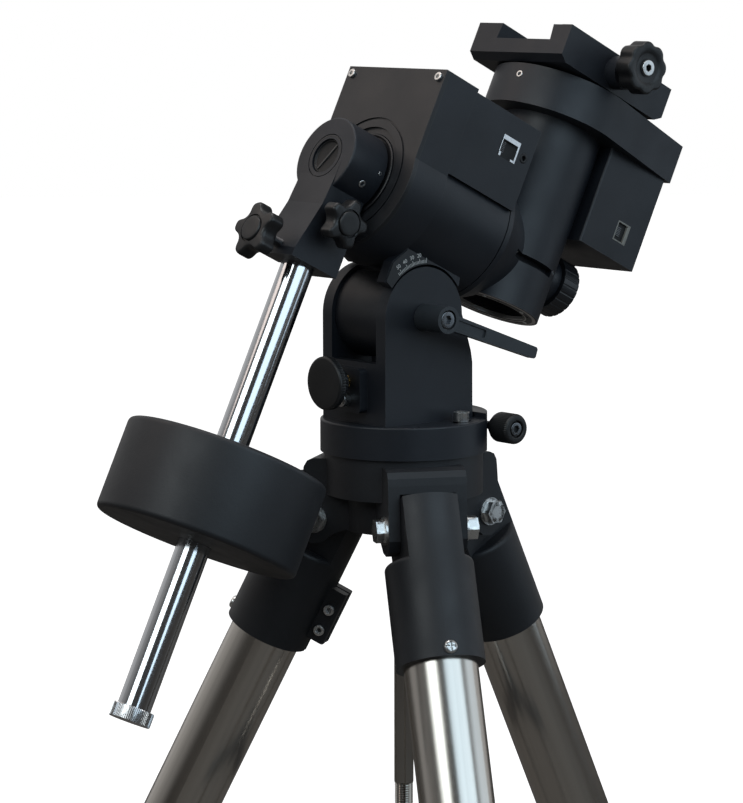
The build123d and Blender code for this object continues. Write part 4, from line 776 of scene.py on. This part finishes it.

# polar cap at the front: dark dished disc with a raised bar; its near-black colour also paints the shade of the bore
bm = bmesh.new()
m = basis(O, N, Y)
lathe_bm(bm, rounded([(0, 58.5), (10.8, 58.5), (10.9, 66.1), (10.2, 66.3), (9.6, 65.2), (0, 64.9)], [0, 0.4, 0.3, 0.3, 0.5, 0]), m, 128)
o = finish_piece("polar_cap_disc", bm, BLACK_WITH_RECESS_SHADE, "polar_cap_front", slot="black_plastic", angle=35)
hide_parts("polar_cap_front")
bm = bmesh.new()
a = math.radians(56.2)
mb = m @ Matrix.Rotation(a, 4, "Z")
box_bm(bm, mb, -9.7, 9.7, -0.6, 0.6, 64.6, 65.9)
finish_piece("polar_cap_bar", bm, BARMAT, "polar_cap_front", slot="black_plastic", bevel=0.0003, angle=35)
# bevelled lip round it
lathe("polar_bore_lip", rounded([(11.05, 64.4), (11.1, 66.6), (12.2, 67.45), (13.3, 67.43)], [0, 0.4, 0.3, 0]), O, N, Y, COAT_SMOOTH, "dec_unit", seg=128, slot="black_coat")

# pan-head screw on the outer side of each leg cap, and the two clamp screws of its lug
for i in range(3):
    d, e, ax, q, p0 = leg_axes(i)
    pan_screw("cap_screw_%d" % (i + 1), p0 + ax * (36.6 * MM) + q * (26.5 * MM), q, e, 4.1, 2.4, "leg_%d" % (i + 1), ZINC)
    for k, u in enumerate((8.0, 22.5)):
        base = p0 + ax * (u * MM) - q * (31.0 * MM)
        socket_screw("lug_screw_%d_%d" % (i + 1, k + 1), base + e * (8.0 * MM), e, ax, 3.4, 2.6, "leg_%d" % (i + 1), ZINC, 1.9, 0.5)
        hex_piece("lug_nut_%d_%d" % (i + 1, k + 1), base - e * (8.0 * MM), -e, ax, 6.6, 2.6, "leg_%d" % (i + 1), washer=None, shank=(1.9, 3.4))
    # pivot bolt: head one side, lock nut and screw end on the other
    piv = BASE + (d * (69.6 - 43.0 * math.sin(LEAN)) + Vector((0, 0, -100 + 43.0 * math.cos(LEAN)))) * MM
    hex_piece("pivot_head_%d" % (i + 1), piv - e * (25.6 * MM), -e, d, 13.0, 5.3, "tripod", washer=(8.6, 1.4))
    hex_piece("pivot_nut_%d" % (i + 1), piv + e * (25.6 * MM), e, d, 13.0, 6.2, "tripod", washer=(8.6, 1.4), shank=(3.9, 7.3), nyloc=True)

# ------------------------------------------------------------------
# Latitude scale: graduation and figures
# ------------------------------------------------------------------
bm = bmesh.new()
ms = Matrix.Translation(rel(-9.0, -30.4, 64.0)) @ Matrix(((1, 0, 0, 0), (0, 0, -1, 0), (0, 1, 0, 0), (0, 0, 0, 1)))
n = 0
a = 88.0
while a <= 127.0:
    long_ = n % 5 == 0
    r0, r1 = 32.6, (35.6 if long_ else 34.5)
    ca, sa = math.cos(math.radians(a)), math.sin(math.radians(a))
    wd = 0.16
    vs = []
    for zz in (0.0, 0.06):
        for rr, ww in ((r0, -wd), (r1, -wd), (r1, wd), (r0, wd)):
            vs.append(bm.verts.new(ms @ Vector(((rr * ca - ww * sa) * MM, (rr * sa + ww * ca) * MM, zz * MM))))
    for f in ((3, 2, 1, 0), (4, 5, 6, 7), (0, 1, 5, 4), (1, 2, 6, 5), (2, 3, 7, 6), (3, 0, 4, 7)):
        bm.faces.new([vs[k] for k in f])
    n += 1
    a += 1.75
finish_piece("scale_marks", bm, WHITE, "ra_unit", slot="scale", smooth=False)
for k, txt in enumerate(("10", "20", "30", "40", "50")):
    a = 88.0 + 8.75 * k
    if txt == "10":
        continue
    cu = bpy.data.curves.new("figure_" + txt, "FONT")
    cu.body = txt
    cu.size = 3.3 * MM
    cu.align_x = "CENTER"
    cu.align_y = "CENTER"
    cu.extrude = 0.03 * MM
    tmp = bpy.data.objects.new("figure_tmp", cu)
    scene.collection.objects.link(tmp)
    bpy.context.view_layer.update()
    me = bpy.data.meshes.new_from_object(tmp.evaluated_get(bpy.context.evaluated_depsgraph_get()))
    bpy.data.objects.remove(tmp)
    ca, sa = math.cos(math.radians(a)), math.sin(math.radians(a))
    mt = ms @ Matrix.Translation((37.6 * ca * MM, 37.6 * sa * MM, 0.04 * MM)) @ Matrix.Rotation(math.radians(a - 90), 4, "Z")
    me.transform(mt)
    me.name = "scale_figure_" + txt
    ob = bpy.data.objects.new("scale_figure_" + txt, me)
    scene.collection.objects.link(ob)
    me.materials.clear()
    me.materials.append(WHITE)
    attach(ob, "ra_unit")

# ------------------------------------------------------------------
# Ports: stamped shield round a dark socket with contacts, and a round jack; the near-black socket floors paint the
# shade of the openings
# ------------------------------------------------------------------
mp = basis(at(-28.0, -48.6, -43.8), -Y, N)
bm = bmesh.new()
hw, hh, th = 7.3, 6.8, 0.9
# folded top band, a full wall on one side, a thin one on the other, two tabs at the foot
for x0, x1, y0, y1 in (
    (-hw, hw, -hh, -hh + 2.9),
    (-hw, -hw + 1.2, -hh + 2.9, hh),
    (hw - 0.35, hw, -hh + 2.9, hh - 2.6),
    (-hw + 1.2, -hw + 3.9, hh - 1.5, hh),
    (hw - 1.9, hw, hh - 2.6, hh),
):
    box_bm(bm, mp, x0, x1, y0, y1, -2.0, 0.3)
o = finish_piece("port_shield", bm, NICKEL, "ra_unit", slot="zinc", smooth=False, bevel=0.00015)
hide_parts("ra_ports")
bm = bmesh.new()
# socket floor: black insert with painted shade of the opening
box_bm(bm, mp, -hw + 1.2, hw - 0.35, -hh + 2.9, hh, -2.0, -1.7)
finish_piece("port_socket", bm, BLACK_WITH_RECESS_SHADE, "ra_unit", slot="black_plastic", smooth=False)
bm = bmesh.new()
for k in range(8):
    y = -3.6 + k * 1.03
    box_bm(bm, mp, 2.6, 5.6, y - 0.16, y + 0.16, -1.7, -1.45)
finish_piece("port_contacts", bm, STEEL_DARK, "ra_unit", slot="brass", smooth=False)
lathe("port_jack", rounded([(0, -1.6), (1.5, -1.6), (1.55, 0.2), (2.2, 0.35), (2.95, 0.2), (3.0, -1.9), (0, -1.9)], [0, 0.1, 0.3, 0.3, 0.3, 0.1, 0]), at(-41.0, -48.0, -43.8), -Y, N, DARKSATIN, "ra_unit", seg=64, slot="black_plastic")
mp = basis(at(-147.0, -43.5, -33.0), -Y, N)
bm = bmesh.new()
hw, hh, th = 5.7, 6.4, 0.8
for x0, x1, y0, y1 in ((-hw, -hw + th, -hh, hh), (hw - th, hw, -hh, hh), (-hw + th, hw - th, -hh, -hh + th), (-hw + th, hw - th, hh - th, hh)):
    box_bm(bm, mp, x0, x1, y0, y1, -1.8, 0.1)
box_bm(bm, mp, -hw + th, -hw + 2.4, -hh + th, hh - th, -1.6, 0.0)
finish_piece("dec_port_socket", bm, PORTGREY, "dec_unit", slot="black_plastic", smooth=False, bevel=0.0001)
# socket floor: black insert with painted shade of the opening
bm = bmesh.new()
box_bm(bm, mp, -hw + 2.4, hw - th, -hh + th, hh - th, -1.8, -1.5)
finish_piece("dec_port_floor", bm, BLACK_WITH_RECESS_SHADE, "dec_unit", slot="black_plastic", smooth=False)
bm = bmesh.new()
for k in range(6):
    y = -2.6 + k * 1.03
    box_bm(bm, mp, 0.4, 4.4, y - 0.2, y + 0.2, -1.5, -1.1)
finish_piece("dec_port_contacts", bm, STEEL_DARK, "dec_unit", slot="brass", smooth=False)

# ------------------------------------------------------------------
# Stage, light, camera
# ------------------------------------------------------------------
def floor():
    me = bpy.data.meshes.new("studio_floor")
    r = 14.0
    n = 96
    bm = bmesh.new()
    vs = [bm.verts.new((r * math.cos(2 * math.pi * k / n), r * math.sin(2 * math.pi * k / n), 0)) for k in range(n)]
    bm.faces.new(vs)
    bm.to_mesh(me)
    bm.free()
    o = bpy.data.objects.new("studio_floor", me)
    scene.collection.objects.link(o)
    m, nt, p = new_mat("studio_floor")
    nz = noise(nt, 1.5, 3.0)
    c = ramp(nt, nz.outputs["Fac"], [(0.3, (0.88, 0.88, 0.88)), (0.7, (0.9, 0.9, 0.9))])
    lp = nt.nodes.new("ShaderNodeLightPath")
    fm = nt.nodes.new("ShaderNodeMix")
    fm.data_type = "RGBA"
    nt.links.new(lp.outputs["Is Camera Ray"], fm.inputs["Factor"])
    fm.inputs["A"].default_value = (0.16, 0.15, 0.14, 1)
    nt.links.new(c.outputs[0], fm.inputs["B"])
    nt.links.new(fm.outputs["Result"], p.inputs["Base Color"])
    p.inputs["Roughness"].default_value = 0.9
    p.inputs["Specular IOR Level"].default_value = 0.1
    p.inputs["Emission Color"].default_value = (1, 1, 1, 1)
    em = nt.nodes.new("ShaderNodeMath")
    em.operation = "MULTIPLY"
    em.inputs[1].default_value = 0.9
    nt.links.new(lp.outputs["Is Camera Ray"], em.inputs[0])
    nt.links.new(em.outputs[0], p.inputs["Emission Strength"])
    me.materials.append(m)
    return o


floor()

scene.view_settings.view_transform = "Standard"
w = bpy.data.worlds.new("studio")
scene.world = w
w.use_nodes = True
wt = w.node_tree
bg = wt.nodes["Background"]
# the room: pale behind the object, darker on the photographer's side, as the directions stand in the room
tc = wt.nodes.new("ShaderNodeTexCoord")
dp = wt.nodes.new("ShaderNodeVectorMath")
dp.operation = "DOT_PRODUCT"
dp.inputs[1].default_value = (0.63, 0.76, 0.0)
wt.links.new(tc.outputs["Generated"], dp.inputs[0])
mr = wt.nodes.new("ShaderNodeMapRange")
for k_, v_ in zip(("From Min", "From Max", "To Min", "To Max"), (-0.6, 0.8, 0.05, 0.5)):
    mr.inputs[k_].default_value = v_
wt.links.new(dp.outputs["Value"], mr.inputs["Value"])
lpn = wt.nodes.new("ShaderNodeLightPath")
mx = wt.nodes.new("ShaderNodeMix")
mx.data_type = "FLOAT"
wt.links.new(lpn.outputs["Is Camera Ray"], mx.inputs["Factor"])
wt.links.new(mr.outputs[0], mx.inputs["A"])
mx.inputs["B"].default_value = 1.0
bg.inputs["Color"].default_value = (1, 1, 1, 1)
wt.links.new(mx.outputs["Result"], bg.inputs["Strength"])


def area(name, loc, target, size, energy, color=(1, 1, 1), size_y=None):
    l = bpy.data.lights.new(name, "AREA")
    l.energy = energy
    l.color = color
    l.shape = "RECTANGLE" if size_y else "SQUARE"
    l.size = size
    if size_y:
        l.size_y = size_y
    o = bpy.data.objects.new(name, l)
    o.location = loc
    o.rotation_euler = (Vector(target) - Vector(loc)).to_track_quat("-Z", "Y").to_euler()
    scene.collection.objects.link(o)
    return o


TGT = (SX, SY, 0.95)
R = Vector((0.771, -0.63684, -0.00191))
U = Vector((0.08561, 0.10068, 0.99123))
F = Vector((0.63106, 0.7644, -0.13214))
CAM = BASE + Vector((-1276.40, -1515.28, 273.40)) * MM
cam = bpy.data.cameras.new("camera")
cam.sensor_width = 36.0
cam.sensor_fit = "AUTO"
cam.lens = 3275.5 * 36 / 803
cam.clip_start = 0.05
cam.clip_end = 60
co = bpy.data.objects.new("camera", cam)
mtx = Matrix((
    (R.x, U.x, -F.x, CAM.x),
    (R.y, U.y, -F.y, CAM.y),
    (R.z, U.z, -F.z, CAM.z),
    (0, 0, 0, 1)))
co.matrix_world = mtx
scene.collection.objects.link(co)
scene.camera = co

T = Vector(TGT)
KH = Vector((-F.x, -F.y, 0)).normalized()
HH = Vector((R.x, R.y, 0)).normalized()


def panel(name, az, el, dist, width, height, energy, color):
    """A broad soft panel; az from the camera side to its right, el above the horizon, in degrees."""
    a, e = math.radians(az), math.radians(el)
    d = (KH * math.cos(a) + HH * math.sin(a)) * math.cos(e) + Vector((0, 0, math.sin(e)))
    area(name, T + d * dist, TGT, width, energy, color, height)


panel("soft_front_left", -38, 33, 2.3, 1.25, 1.25, 15.0, (0.9, 0.98, 1.0))
panel("soft_right", 40, 26, 2.3, 2.3, 1.9, 23.0, (0.68, 0.86, 1.0))
panel("soft_side", 96, 4, 2.3, 1.5, 1.2, 4.5, (0.68, 0.85, 1.0))
panel("soft_left", -96, 46, 2.3, 1.5, 1.5, 7.0, (1.0, 0.84, 0.75))
area("soft_top", T + Vector((0, 0, 1.9)), TGT, 1.0, 11, (1.0, 0.97, 0.97))
